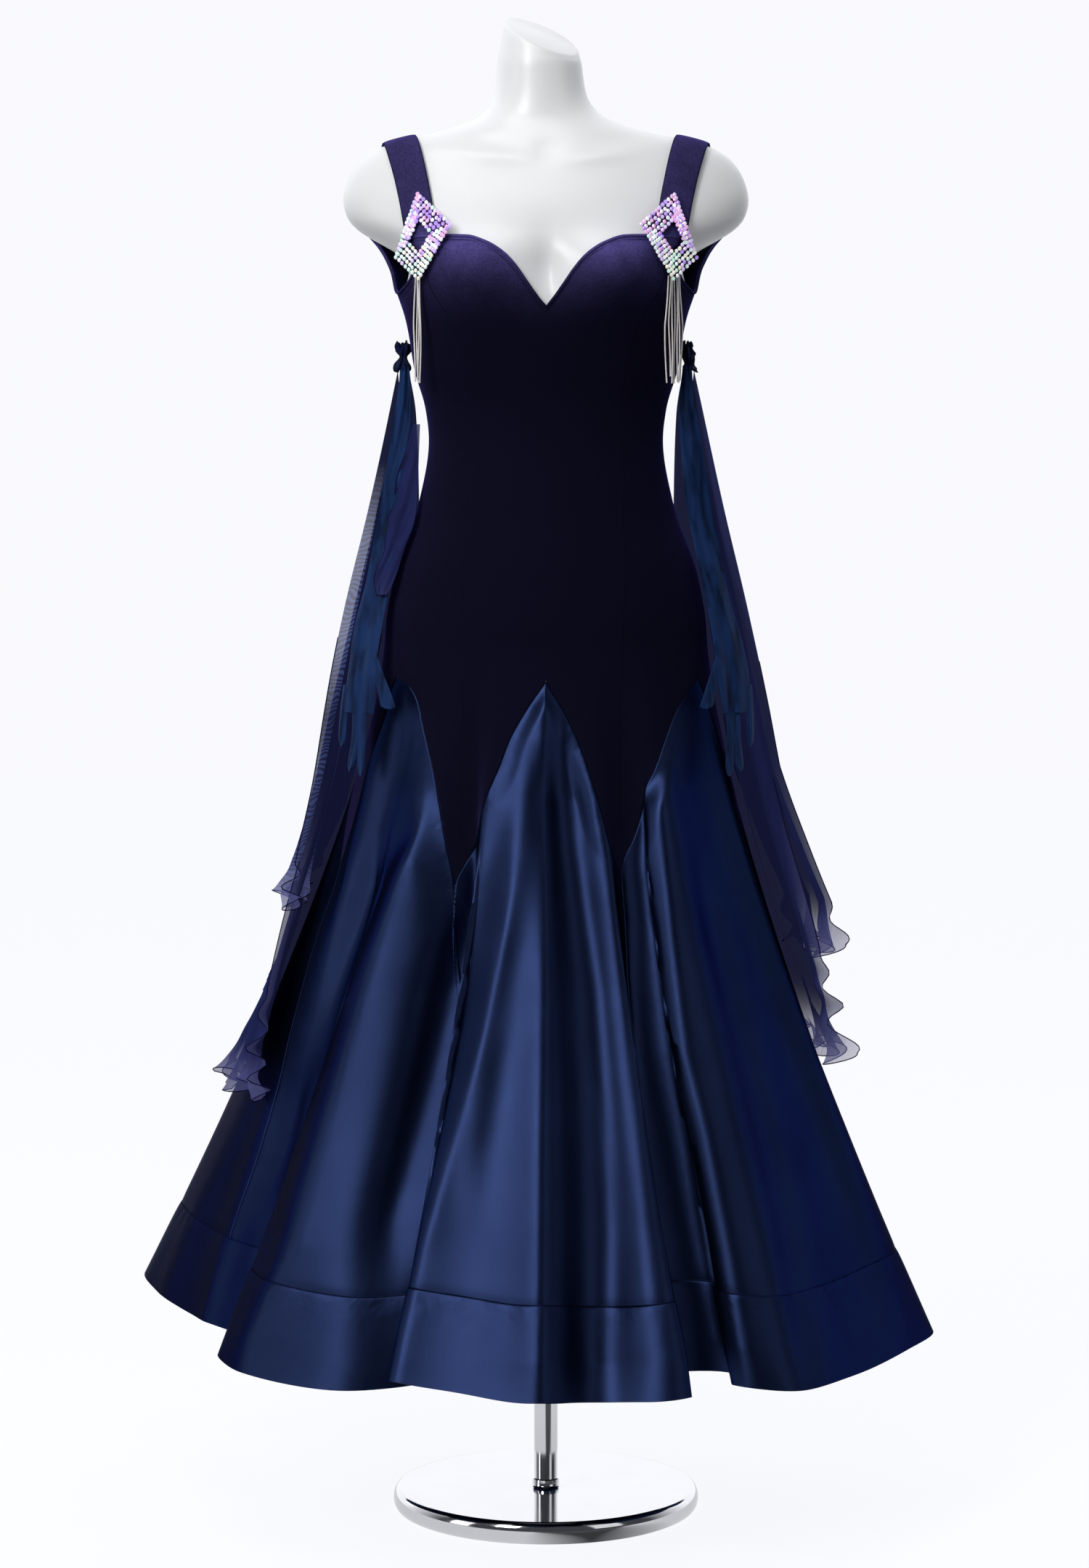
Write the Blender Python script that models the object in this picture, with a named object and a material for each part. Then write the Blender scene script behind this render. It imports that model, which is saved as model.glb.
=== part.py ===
"""Ballroom gown on a limbless dress form, in metres, +Z up, front towards -Y.

The origin is on the floor at the middle of the stand. Angles around the body are
in degrees: 0 at the front, 90 at the wearer's left hip (+X), 180 at the back.
A height on the gown is its nominal height: true height down to the hip, then
spread evenly along the cloth from the hip to the hem.
"""
import math
from collections import namedtuple

import bmesh
import bpy
import numpy as np
from mathutils import Vector

# Stand
BASE_RADIUS = 0.1635
BASE_HEIGHT = 0.024
BASE_EDGE = 0.007
POLE_RADIUS = 0.0125
COLLAR_RADIUS = 0.0165
COLLAR_HEIGHT = 0.008

# Joins between touching pieces
GAP = 0.0003
SEAM_GAP = 0.00034

# Cloth
CLEARANCE = 0.0025
VELVET = 0.0018
SATIN = 0.0011
BAND = 0.0019
CHIFFON = 0.0012
MESH_GLOVE = 0.0045
WALL_STAND_OFF = CLEARANCE + VELVET

# Heights on the gown
HIP_Z = 0.935
GODET_TOP = 0.897
GODET_TIP = 0.690
BAND_TOP = 0.285
HEM_Z = 0.195
FLARE_POWER = 1.25
FOLD_POWER = 1.3
NOTCH_POWER = 0.8
NOTCH_ROWS = 5
BLUNT_ANGLE = 1.2
BLUNT_GAP = 0.0012
NOTCH_INSETS = [3.0, 3.0, 3.5, 5.5, 5.5]
VELVET_ROWS = 12
VELVET_ROW_POWER = 1.5
LOWER_HEIGHTS = [0.632, 0.566, 0.498, 0.428, 0.357, BAND_TOP]
WIDE_COLUMN = 4.9

# Straps
STRAP_WIDTH = 0.033
STRAP_FOOT_Z = 1.3526
STRAP_BACK_Z = 1.3720
STRAP_TURN_Z = 1.395
STRAP_OUTSIDE = WALL_STAND_OFF + 0.0008
STRAP_INSIDE = CLEARANCE + 0.0006
STRAP_STEPS = 15
STRAP_COLUMNS = 3

Section = namedtuple("Section", "z half_width front back shift")
Fold = namedtuple("Fold", "angle x y z")
Edge = namedtuple("Edge", "angle z")
Line = namedtuple("Line", "share x")
Godet = namedtuple("Godet", "name middle left right")
Fall = namedtuple("Fall", "z outer inner first last")
Sleeve = namedtuple("Sleeve", "z near far")
Lay = namedtuple("Lay", "z depth middle slope")
Finger = namedtuple("Finger", "root_x root_z tip_x tip_z width")

# The form from its flat underside to the root of the neck
FORM = [
    Section(0.790, 0.140, 0.090, 0.098, 0.0),
    Section(0.802, 0.150, 0.097, 0.106, 0.0),
    Section(0.860, 0.161, 0.102, 0.116, 0.0),
    Section(0.935, 0.1655, 0.1015, 0.117, 0.0),
    Section(1.000, 0.156, 0.095, 0.105, 0.0),
    Section(1.072, 0.131, 0.084, 0.084, 0.0),
    Section(1.144, 0.1188, 0.078, 0.073, 0.0),
    Section(1.177, 0.1225, 0.080, 0.076, 0.0),
    Section(1.215, 0.1335, 0.088, 0.084, 0.0),
    Section(1.255, 0.1400, 0.098, 0.092, 0.0),
    Section(1.285, 0.1460, 0.106, 0.097, 0.0),
    Section(1.310, 0.1530, 0.1085, 0.099, 0.0),
    Section(1.333, 0.1600, 0.107, 0.099, 0.0),
    Section(1.348, 0.1760, 0.103, 0.098, 0.0),
    Section(1.360, 0.1950, 0.098, 0.096, 0.0),
    Section(1.374, 0.2080, 0.093, 0.093, 0.0),
    Section(1.393, 0.2127, 0.086, 0.089, 0.0),
    Section(1.412, 0.2085, 0.078, 0.082, 0.0),
    Section(1.435, 0.1940, 0.068, 0.073, 0.0),
    Section(1.450, 0.1700, 0.060, 0.065, 0.0),
    Section(1.460, 0.1340, 0.055, 0.060, -0.001),
    Section(1.470, 0.1000, 0.051, 0.056, -0.002),
    Section(1.485, 0.0680, 0.047, 0.052, -0.004),
    Section(1.505, 0.0500, 0.045, 0.048, -0.006),
    Section(1.535, 0.0445, 0.044, 0.046, -0.007),
]

# The slanted cut face of the neck
CAP_MIDDLE_Z = 1.5575
CAP_HALF_WIDTH = 0.0375
CAP_FRONT = 0.040
CAP_BACK = 0.042
CAP_SHIFT = -0.005
CAP_SLOPE_X = -0.50
CAP_SLOPE_Y = 0.34

# Bust and the hollow between
BUST_ANGLE = 31.0
BUST_SPREAD = 17.0
BUST_Z = 1.318
BUST_RISE = 0.036
BUST_DEPTH = 0.017
HOLLOW_DEPTH = 0.008
HOLLOW_SPREAD = 12.0
CUP_DEPTH = 0.006
FORM_SLACK = 0.0026
SLACK_TOP = 1.25
FORM_SIDES = 30
WAIST_HEIGHTS = [1.036, 1.108]

# The gown stands off the form under the arm
EASE_Z = 1.300
EASE_RISE = 0.022
EASE_DEPTH = 0.009

# Outline that the skirt would have at its hem without folds
HEM_HALF_WIDTH = 0.408
HEM_FRONT = 0.335
HEM_BACK = 0.330

# Hem, one row for each ridge, valley and turn, from the back round to the back
HEM = [
    Fold(-180.0, 0.000, 0.325, 0.200),
    Fold(-173.0, -0.062, 0.336, 0.200),
    Fold(-165.0, -0.125, 0.348, 0.200),
    Fold(-157.0, -0.172, 0.295, 0.205),
    Fold(-151.0, -0.178, 0.240, 0.210),
    Fold(-143.0, -0.215, 0.250, 0.208),
    Fold(-135.0, -0.275, 0.298, 0.205),
    Fold(-126.0, -0.350, 0.333, 0.205),
    Fold(-116.0, -0.430, 0.318, 0.205),
    Fold(-107.0, -0.452, 0.240, 0.205),
    Fold(-98.0, -0.412, 0.095, 0.205),
    Fold(-88.0, -0.360, -0.022, 0.206),
    Fold(-68.0, -0.324, -0.072, 0.206),
    Fold(-56.0, -0.300, -0.090, 0.205),
    Fold(-48.0, -0.320, -0.106, 0.202),
    Fold(-42.0, -0.3415, -0.132, 0.196),
    Fold(-38.0, -0.314, -0.188, 0.190),
    Fold(-34.5, -0.262, -0.234, 0.187),
    Fold(-31.0, -0.200, -0.262, 0.185),
    Fold(-28.0, -0.138, -0.262, 0.187),
    Fold(-24.5, -0.080, -0.254, 0.196),
    Fold(-19.5, -0.122, -0.290, 0.206),
    Fold(-15.0, -0.158, -0.314, 0.210),
    Fold(-8.5, -0.092, -0.334, 0.203),
    Fold(0.0, -0.007, -0.353, 0.194),
    Fold(5.5, 0.052, -0.331, 0.194),
    Fold(11.0, 0.112, -0.339, 0.194),
    Fold(15.0, 0.145, -0.322, 0.195),
    Fold(19.5, 0.121, -0.284, 0.197),
    Fold(24.5, 0.112, -0.240, 0.200),
    Fold(26.5, 0.165, -0.222, 0.200),
    Fold(28.5, 0.206, -0.236, 0.199),
    Fold(31.0, 0.184, -0.262, 0.196),
    Fold(34.5, 0.240, -0.279, 0.190),
    Fold(42.0, 0.315, -0.206, 0.190),
    Fold(52.0, 0.375, -0.108, 0.194),
    Fold(63.0, 0.4115, -0.036, 0.199),
    Fold(73.0, 0.386, 0.014, 0.205),
    Fold(88.0, 0.350, 0.085, 0.208),
    Fold(98.0, 0.380, 0.135, 0.206),
    Fold(107.0, 0.402, 0.190, 0.205),
    Fold(117.0, 0.368, 0.262, 0.205),
    Fold(127.0, 0.300, 0.290, 0.205),
    Fold(137.0, 0.232, 0.272, 0.205),
    Fold(151.0, 0.172, 0.235, 0.210),
    Fold(157.0, 0.166, 0.292, 0.205),
    Fold(165.0, 0.120, 0.347, 0.200),
    Fold(173.0, 0.060, 0.336, 0.200),
    Fold(180.0, 0.000, 0.325, 0.200),
]

# Top edge of the velvet on one side: neckline, strap foot, armhole, back, neckline
TOP_EDGE = [
    Edge(0.0, 1.2790),
    Edge(3.2, 1.2890),
    Edge(7.4, 1.3055),
    Edge(11.0, 1.3205),
    Edge(15.2, 1.3345),
    Edge(20.0, 1.3455),
    Edge(25.5, 1.3520),
    Edge(31.0, STRAP_FOOT_Z),
    Edge(57.0, STRAP_FOOT_Z),
    Edge(60.5, 1.3400),
    Edge(64.0, 1.3180),
    Edge(70.0, 1.3030),
    Edge(80.0, 1.2960),
    Edge(90.0, 1.3000),
    Edge(98.0, 1.3230),
    Edge(106.0, 1.3520),
    Edge(117.0, STRAP_BACK_Z),
    Edge(136.0, STRAP_BACK_Z),
    Edge(145.0, 1.3450),
    Edge(158.0, 1.2850),
    Edge(170.0, 1.2550),
    Edge(180.0, 1.2500),
]

# The seam over the bust, as its angle at each height
FRONT_SEAM = [
    Edge(24.5, 0.600),
    Edge(24.5, 0.690),
    Edge(28.5, 0.935),
    Edge(34.0, 1.040),
    Edge(41.5, 1.144),
    Edge(37.0, 1.215),
    Edge(43.0, 1.270),
    Edge(50.0, 1.300),
    Edge(52.0, 1.3526),
]

# The middle of a strap, from its foot to its back end
STRAP_LINE = [
    Line(0.00, 0.1285),
    Line(0.22, 0.1400),
    Line(0.50, 0.1535),
    Line(0.78, 0.1580),
    Line(1.00, 0.1560),
]

GODETS = [
    Godet("front", 0.0, -24.5, 24.5),
    Godet("front_left", -64.0, -88.0, -24.5),
    Godet("front_right", 64.0, 24.5, 88.0),
    Godet("back_left", -121.0, -151.0, -88.0),
    Godet("back_right", 121.0, 88.0, 151.0),
    Godet("back", 180.0, 151.0, 209.0),
]

# Brooch outline and window on the wearer's left, across and up
BROOCH = [(0.1320, 1.3960), (0.1550, 1.3325), (0.1310, 1.3100), (0.0975, 1.3640)]
WINDOW = [(0.1310, 1.3695), (0.1415, 1.3490), (0.1310, 1.3370), (0.1185, 1.3545)]
BROOCH_THICKNESS = 0.0026
BROOCH_BEND = 0.4
BROOCH_CLEAR = 0.0030
BROOCH_MIDDLE_X = 0.128
BROOCH_MIDDLE_Z = 1.345
BROOCH_STEPS = 4

# Tassels
TASSEL_X = 0.1325
TASSEL_TOP = 1.3100
TASSEL_HEAD = 0.006
TASSEL_LENGTH = 0.108
TASSEL_CLEAR = 0.0012
TASSEL_DROPS = [0.0, 0.01, 0.02, 0.03, 0.04]
TASSEL_UNEVEN = 0.06
TASSEL_SPLAY = 0.55
TASSEL_LIP = 0.0005
STRAND_PARTS = [0.12, 0.45, 0.8, 1.0]
STRAND = 0.0013
STRAND_PITCH = 0.0018
LEFT_STRANDS = 6
RIGHT_STRANDS = 9

# Ruffled cuffs under the arms, where gloves and floats are gathered
CUFF_Z = 1.2325
CUFF_HEIGHT = 0.022
CUFF_RADIUS = 0.0066
CUFF_LOBES = 7
LEFT_CUFF_SEAT = 1.145
RIGHT_CUFF_SEAT = 1.02
CUFF_Y = 0.012

# Floats: outer and inner reach from the middle, and the angles they span
LONG_FLOAT = [
    Fall(1.2212, 0.1545, 0.1490, 96.0, 102.0),
    Fall(1.1700, 0.1580, 0.1440, 93.0, 106.0),
    Fall(1.0700, 0.1790, 0.1480, 91.0, 113.0),
    Fall(0.9700, 0.2020, 0.1700, 91.0, 120.0),
    Fall(0.8700, 0.2230, 0.2000, 91.0, 125.0),
    Fall(0.7500, 0.2500, 0.2300, 90.0, 128.0),
    Fall(0.6300, 0.2850, 0.2650, 88.0, 129.0),
    Fall(0.5500, 0.3050, 0.2900, 86.0, 127.0),
    Fall(0.4900, 0.3180, 0.3100, 86.0, 122.0),
]
SHORT_FLOAT = [
    Fall(1.2212, 0.1550, 0.1572, 93.2, 95.8),
    Fall(1.1700, 0.1660, 0.1560, 89.0, 101.0),
    Fall(1.0700, 0.1880, 0.1680, 87.0, 106.0),
    Fall(0.9700, 0.2120, 0.1900, 87.0, 110.0),
    Fall(0.8700, 0.2340, 0.2150, 87.0, 113.0),
    Fall(0.7800, 0.2520, 0.2380, 87.0, 115.0),
    Fall(0.7100, 0.2700, 0.2560, 87.0, 114.0),
    Fall(0.6550, 0.2850, 0.2730, 87.0, 112.0),
]
LONG_CLEAR = 0.005
SHORT_CLEAR = 0.013
FLOAT_WAVE = 0.0075
FLOAT_COLUMNS = 7
FLOAT_ROW = 0.065
FLOAT_HEM_WAVE = 0.006
LONG_WAVES = 2.0
SHORT_WAVES = 1.5

# Gloves, hanging flat: height, nearer and farther edge from the middle
GLOVE = [
    Sleeve(1.2212, 0.1440, 0.1520),
    Sleeve(1.1800, 0.1400, 0.1580),
    Sleeve(1.1000, 0.1440, 0.1700),
    Sleeve(1.0500, 0.1520, 0.1790),
    Sleeve(0.9900, 0.1640, 0.1900),
    Sleeve(0.9300, 0.1740, 0.2050),
    Sleeve(0.8850, 0.1800, 0.2110),
    Sleeve(0.8600, 0.1830, 0.2130),
]
FINGERS = [
    Finger(0.182, 0.900, 0.166, 0.824, 0.0135),
    Finger(0.188, 0.872, 0.196, 0.756, 0.0095),
    Finger(0.197, 0.868, 0.209, 0.758, 0.0095),
    Finger(0.206, 0.872, 0.220, 0.795, 0.0090),
]

# How a glove lies: depth of its back face at a distance from the middle, and its slope
GLOVE_LAY = [
    Lay(0.7800, -0.082, 0.185, 0.9),
    Lay(0.9000, -0.072, 0.170, 0.9),
    Lay(1.0600, -0.020, 0.150, 0.5),
    Lay(1.2212, 0.0095, 0.148, 0.0),
]

RIGHT = 1
LEFT = -1


# Curves through tables

def slopes(xs, ys):
    """Slopes that keep a curve through the points free of overshoot."""
    steps = np.diff(xs)
    rates = np.diff(ys) / steps
    out = np.zeros(len(xs))
    out[0], out[-1] = rates[0], rates[-1]
    for i in range(1, len(xs) - 1):
        if rates[i - 1] * rates[i] > 0:
            a, b = steps[i - 1], steps[i]
            out[i] = (a + b) / ((a + 2 * b) / (3 * rates[i - 1]) + (2 * a + b) / (3 * rates[i]))
    return out


def curve(xs, ys):
    """A smooth function through a table's rows, flat beyond its ends."""
    order = np.argsort(xs)
    xs = np.asarray(xs, float)[order]
    ys = np.asarray(ys, float)[order]
    tangents = slopes(xs, ys)

    def value(x):
        x = min(max(x, xs[0]), xs[-1])
        i = min(int(np.searchsorted(xs, x, side="right")) - 1, len(xs) - 2)
        step = xs[i + 1] - xs[i]
        u = (x - xs[i]) / step
        return ((2 * u**3 - 3 * u**2 + 1) * ys[i] + (u**3 - 2 * u**2 + u) * step * tangents[i]
                + (3 * u**2 - 2 * u**3) * ys[i + 1] + (u**3 - u**2) * step * tangents[i + 1])

    return value


def column(rows, key, name):
    """The curve of one named column of a table against another."""
    return curve([getattr(row, key) for row in rows], [getattr(row, name) for row in rows])


form_half_width = column(FORM, "z", "half_width")
form_front = column(FORM, "z", "front")
form_back = column(FORM, "z", "back")
form_shift = column(FORM, "z", "shift")
hem_x = column(HEM, "angle", "x")
hem_y = column(HEM, "angle", "y")
hem_z = column(HEM, "angle", "z")
top_edge_z = column(TOP_EDGE, "angle", "z")
front_seam_angle = column(FRONT_SEAM, "z", "angle")
strap_x = column(STRAP_LINE, "share", "x")


def wrap(angle):
    """The same direction as an angle from -180 to 180 degrees."""
    return (angle + 180.0) % 360.0 - 180.0


# Body and skirt surfaces

def bust(angle, z):
    """How far the bust comes forward at an angle and height."""
    rise = math.exp(-((z - BUST_Z) / BUST_RISE) ** 2)
    lobes = math.exp(-((abs(wrap(angle)) - BUST_ANGLE) / BUST_SPREAD) ** 2)
    hollow = math.exp(-(wrap(angle) / HOLLOW_SPREAD) ** 2)
    return rise * (BUST_DEPTH * lobes - HOLLOW_DEPTH * hollow)


def cup(z):
    """How far the form stays behind the gown's padded cups at a height."""
    return CUP_DEPTH * math.exp(-((z - BUST_Z) / BUST_RISE) ** 2)


def slack(z):
    """How much slimmer the form is where the gown covers it."""
    return FORM_SLACK if z < SLACK_TOP else 0.0


def ease(angle, z):
    """How far the gown stands away from the form under the arm."""
    rise = math.exp(-((z - EASE_Z) / EASE_RISE) ** 2)
    return EASE_DEPTH * rise * abs(math.sin(math.radians(angle))) ** 6


def ring(angle, half_width, front, back):
    """A point of an oval that is deeper or flatter in front than behind."""
    turn = math.radians(angle)
    depth = front if math.cos(turn) > 0 else back
    return half_width * math.sin(turn), -depth * math.cos(turn)


def body_ring(angle, z, off):
    """A point of the form's surface, moved outwards."""
    x, y = ring(angle, form_half_width(z) + off, form_front(z) + off, form_back(z) + off)
    return x + form_shift(z), y - bust(angle, z)


def skirt_ring(angle, s):
    """A point of the skirt, s from 0 at the hip to 1 at the hem."""
    flare = s ** FLARE_POWER
    off = WALL_STAND_OFF
    half_width = form_half_width(HIP_Z) + off
    front = form_front(HIP_Z) + off
    back = form_back(HIP_Z) + off
    x, y = ring(angle, half_width + (HEM_HALF_WIDTH - half_width) * flare,
                front + (HEM_FRONT - front) * flare, back + (HEM_BACK - back) * flare)
    plain_x, plain_y = ring(angle, HEM_HALF_WIDTH, HEM_FRONT, HEM_BACK)
    fold = s ** FOLD_POWER
    turn = wrap(angle)
    return x + fold * (hem_x(turn) - plain_x), y + fold * (hem_y(turn) - plain_y)


def gown(angle, height):
    """A point of the gown's outside at an angle and nominal height."""
    if height >= HIP_Z:
        off = WALL_STAND_OFF + ease(angle, height)
        x, y = body_ring(angle, height, off)
        return Vector((x, y, height))
    s = (HIP_Z - height) / (HIP_Z - HEM_Z)
    x, y = skirt_ring(angle, s)
    return Vector((x, y, HIP_Z + (hem_z(wrap(angle)) - HIP_Z) * s))


def gown_normal(angle, height):
    """The outward direction of the gown's surface."""
    around = gown(angle + 0.3, height) - gown(angle - 0.3, height)
    up = gown(angle, height + 0.002) - gown(angle, height - 0.002)
    return around.cross(up).normalized()


def gown_inside(angle, height, thickness):
    """The inner face of a wall whose outside is the gown's surface."""
    if height < HIP_Z:
        return gown(angle, height) - gown_normal(angle, height) * thickness
    x, y = body_ring(angle, height, WALL_STAND_OFF + ease(angle, height) - thickness)
    return Vector((x, y, height))


def skirt_reach(angle, z):
    """How far out the folded skirt comes in a direction at a true height."""
    far = 0.0
    for step in range(-16, 17, 2):
        cloth = angle + step
        s = (HIP_Z - z) / (HIP_Z - hem_z(wrap(cloth)))
        if s <= 0:
            x, y = body_ring(cloth, z, WALL_STAND_OFF)
        else:
            x, y = skirt_ring(cloth, min(s, 1.0))
        direction = math.degrees(math.atan2(x, -y))
        if abs(wrap(direction - angle)) < 6.0:
            far = max(far, math.hypot(x, y))
    return far


# Meshes

def link(name, bm, material, smooth_angle=40.0):
    """Make an object of a mesh, with its material and smooth shading."""
    bmesh.ops.recalc_face_normals(bm, faces=bm.faces[:])
    if bm.calc_volume(signed=True) < 0:
        bmesh.ops.reverse_faces(bm, faces=bm.faces[:])
    mesh = bpy.data.meshes.new(name)
    bm.to_mesh(mesh)
    bm.free()
    mesh.shade_smooth()
    mesh.set_sharp_from_angle(angle=math.radians(smooth_angle))
    mesh.materials.append(material)
    obj = bpy.data.objects.new(name, mesh)
    bpy.context.scene.collection.objects.link(obj)
    return obj


def material(name, colour, roughness, metallic=0.0):
    """A plain material of the real finish's colour and gloss."""
    mat = bpy.data.materials.new(name)
    mat.use_nodes = True
    shader = mat.node_tree.nodes["Principled BSDF"]
    shader.inputs["Base Color"].default_value = (*colour, 1.0)
    shader.inputs["Roughness"].default_value = roughness
    shader.inputs["Metallic"].default_value = metallic
    return mat


def wall(name, outer, inner, mat):
    """A closed wall between two grids of points, rows by columns."""
    bm = bmesh.new()
    rows, columns = len(outer), len(outer[0])
    out = [[bm.verts.new(p) for p in row] for row in outer]
    back = [[bm.verts.new(p) for p in row] for row in inner]
    for i in range(rows - 1):
        for j in range(columns - 1):
            for face in (out, back):
                bm.faces.new((face[i][j], face[i][j + 1], face[i + 1][j + 1]))
                bm.faces.new((face[i][j], face[i + 1][j + 1], face[i + 1][j]))
    for i in range(rows - 1):
        for j, k in ((0, 0), (columns - 1, columns - 1)):
            bm.faces.new((out[i][j], out[i + 1][j], back[i + 1][k], back[i][k]))
    for j in range(columns - 1):
        for i in (0, rows - 1):
            bm.faces.new((out[i][j], out[i][j + 1], back[i][j + 1], back[i][j]))
    return link(name, bm, mat, 75.0)


def loft(name, rings, mat, smooth_angle=40.0):
    """A closed solid through rings of points, with flat ends."""
    bm = bmesh.new()
    verts = [[bm.verts.new(p) for p in points] for points in rings]
    count = len(rings[0])
    for low, high in zip(verts, verts[1:]):
        for j in range(count):
            k = (j + 1) % count
            bm.faces.new((low[j], low[k], high[k], high[j]))
    bm.faces.new(verts[0][::-1])
    bm.faces.new(verts[-1])
    return link(name, bm, mat, smooth_angle)


def turned(name, profile, sides, mat):
    """A solid turned about the upright axis from radius and height pairs."""
    rings = []
    for radius, z in profile:
        rings.append([(radius * math.cos(2 * math.pi * j / sides),
                       radius * math.sin(2 * math.pi * j / sides), z) for j in range(sides)])
    return loft(name, rings, mat)


# Stand and form

def make_stand(chrome):
    """The weighted disc with its collar, and the pole."""
    profile = [(BASE_RADIUS - BASE_EDGE, 0.0)]
    for step in range(5):
        turn = math.radians(-90 + 45 * step)
        profile.append((BASE_RADIUS - BASE_EDGE + BASE_EDGE * math.cos(turn),
                        BASE_HEIGHT / 2 + (BASE_HEIGHT / 2 - 0.001) * math.sin(turn)))
    profile.append((COLLAR_RADIUS, BASE_HEIGHT))
    profile.append((COLLAR_RADIUS - 0.001, BASE_HEIGHT + COLLAR_HEIGHT))
    turned("stand_base", profile, 32, chrome)
    low = BASE_HEIGHT + COLLAR_HEIGHT + GAP
    high = FORM[0].z - GAP
    turned("stand_pole", [(POLE_RADIUS, low), (POLE_RADIUS, high)], 16, chrome)


def make_form(white):
    """The limbless form: hips, waist, bust, short arm stumps and slanted neck."""
    sides = FORM_SIDES
    heights = [row.z for row in FORM] + WAIST_HEIGHTS
    rings = []
    for z in sorted(heights):
        points = []
        for j in range(sides):
            turn = 360.0 * j / sides
            x, y = body_ring(turn, z, -slack(z))
            y += cup(z) * max(0.0, math.cos(math.radians(turn)))
            points.append((x, y, z))
        rings.append(points)
    points = []
    for j in range(sides):
        x, y = ring(360.0 * j / sides, CAP_HALF_WIDTH, CAP_FRONT, CAP_BACK)
        points.append((x + CAP_SHIFT, y, CAP_MIDDLE_Z + CAP_SLOPE_X * x + CAP_SLOPE_Y * y))
    rings.append(points)
    loft("dress_form", rings, white)


# Velvet body

def notch_points(godet, side):
    """Angles and heights down one edge of a godet, from its top to its tip."""
    far = godet.right if side > 0 else godet.left
    points = []
    for step in range(1, NOTCH_ROWS + 1):
        drop = step / NOTCH_ROWS
        height = GODET_TOP - (GODET_TOP - GODET_TIP) * drop
        points.append((godet.middle + (far - godet.middle) * drop ** NOTCH_POWER, height))
    return points


def panel_sides(godet, height):
    """The angles of a velvet panel's two seams at a height."""
    seams = []
    for angle in (godet.left, godet.right):
        turn = wrap(angle)
        if abs(turn) < 30:
            angle = math.copysign(front_seam_angle(height), turn)
        seams.append(angle)
    return seams


def top_height(godet, share):
    """The height of the top edge, share of the way across a panel."""
    low, high = 1.05, 1.42
    for _ in range(40):
        middle = (low + high) / 2
        left, right = panel_sides(godet, middle)
        angle = left + (right - left) * share
        if middle > top_edge_z(abs(wrap(angle))):
            high = middle
        else:
            low = middle
    return low


def make_velvet(godet, mat):
    """One velvet panel, from the top edge down to the notch for its godet."""
    foot = [(godet.left, GODET_TIP)] + notch_points(godet, LEFT)[-2::-1]
    foot += [(godet.middle, GODET_TOP)] + notch_points(godet, RIGHT)
    outer = [[] for _ in range(VELVET_ROWS)]
    inner = [[] for _ in range(VELVET_ROWS)]
    for angle, height in foot:
        left, right = panel_sides(godet, height)
        share = (angle - left) / (right - left)
        top = top_height(godet, share)
        for i in range(VELVET_ROWS):
            at = top + (height - top) * (i / (VELVET_ROWS - 1)) ** VELVET_ROW_POWER
            left, right = panel_sides(godet, at)
            turn = left + (right - left) * share
            if share < 0.001:
                turn += seam_inset(turn, at)
            if share > 0.999:
                turn -= seam_inset(turn, at)
            outer[i].append(gown(turn, at))
            inner[i].append(gown_inside(turn, at, VELVET))
    wall("velvet_" + godet.name, outer, inner, mat)


# Satin godets and hem band

def cloth_shares(godet):
    """Where a godet's columns lie across it: on each row of the hem and in wide spaces."""
    angles = [godet.left, godet.right]
    for row in HEM:
        angle = row.angle + (360.0 if row.angle < 0 and godet.right > 180 else 0.0)
        if godet.left + 0.1 < angle < godet.right - 0.1 and abs(angle - 180.1) > 0.05:
            angles.append(angle)
    angles = sorted(set(angles))
    middles = [(a + b) / 2 for a, b in zip(angles, angles[1:]) if b - a > WIDE_COLUMN]
    spread = godet.right - godet.left
    return [(angle - godet.left) / spread for angle in sorted(angles + middles)]


def seam_inset(angle, height):
    """Half a seam's gap as an angle at a place on the gown."""
    around = (gown(angle + 0.5, height) - gown(angle - 0.5, height)).length
    return (SEAM_GAP / 2) / around


def cloth_row(left, right, height, shares, thickness):
    """One row of points across a piece."""
    turns = [left + (right - left) * share for share in shares]
    outer = [gown(turn, height) for turn in turns]
    inner = [gown_inside(turn, height, thickness) for turn in turns]
    return outer, inner


def seamed_row(godet, height, shares, thickness):
    """One row across a whole panel, set in by half a seam at each side."""
    left = godet.left + seam_inset(godet.left, height)
    right = godet.right - seam_inset(godet.right, height)
    return cloth_row(left, right, height, shares, thickness)


def make_godet(godet, mat):
    """One satin godet, from a blunt point in the velvet to the hem band."""
    shares = cloth_shares(godet)
    lefts = notch_points(godet, LEFT)
    rights = notch_points(godet, RIGHT)
    narrow = min(godet.middle - lefts[0][0], rights[0][0] - godet.middle)
    share = BLUNT_ANGLE / narrow
    top = GODET_TOP + (lefts[0][1] - GODET_TOP) * share - BLUNT_GAP
    rows = [cloth_row(godet.middle + (lefts[0][0] - godet.middle) * share,
                      godet.middle + (rights[0][0] - godet.middle) * share, top, shares, SATIN)]
    for (left, height), (right, _), times in zip(lefts, rights, NOTCH_INSETS):
        left += times * seam_inset(left, height)
        right -= times * seam_inset(right, height)
        rows.append(cloth_row(left, right, height, shares, SATIN))
    for height in LOWER_HEIGHTS:
        lift = GAP if height == BAND_TOP else 0.0
        rows.append(seamed_row(godet, height + lift, shares, SATIN))
    outer = [row[0] for row in rows]
    inner = [row[1] for row in rows]
    wall("godet_" + godet.name, outer, inner, mat)


def make_band(godet, mat):
    """The deep stitched hem band of one godet."""
    shares = cloth_shares(godet)
    rows = [seamed_row(godet, height, shares, BAND) for height in (BAND_TOP, HEM_Z)]
    wall("hem_band_" + godet.name, [row[0] for row in rows], [row[1] for row in rows], mat)


# Straps and brooches

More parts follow.
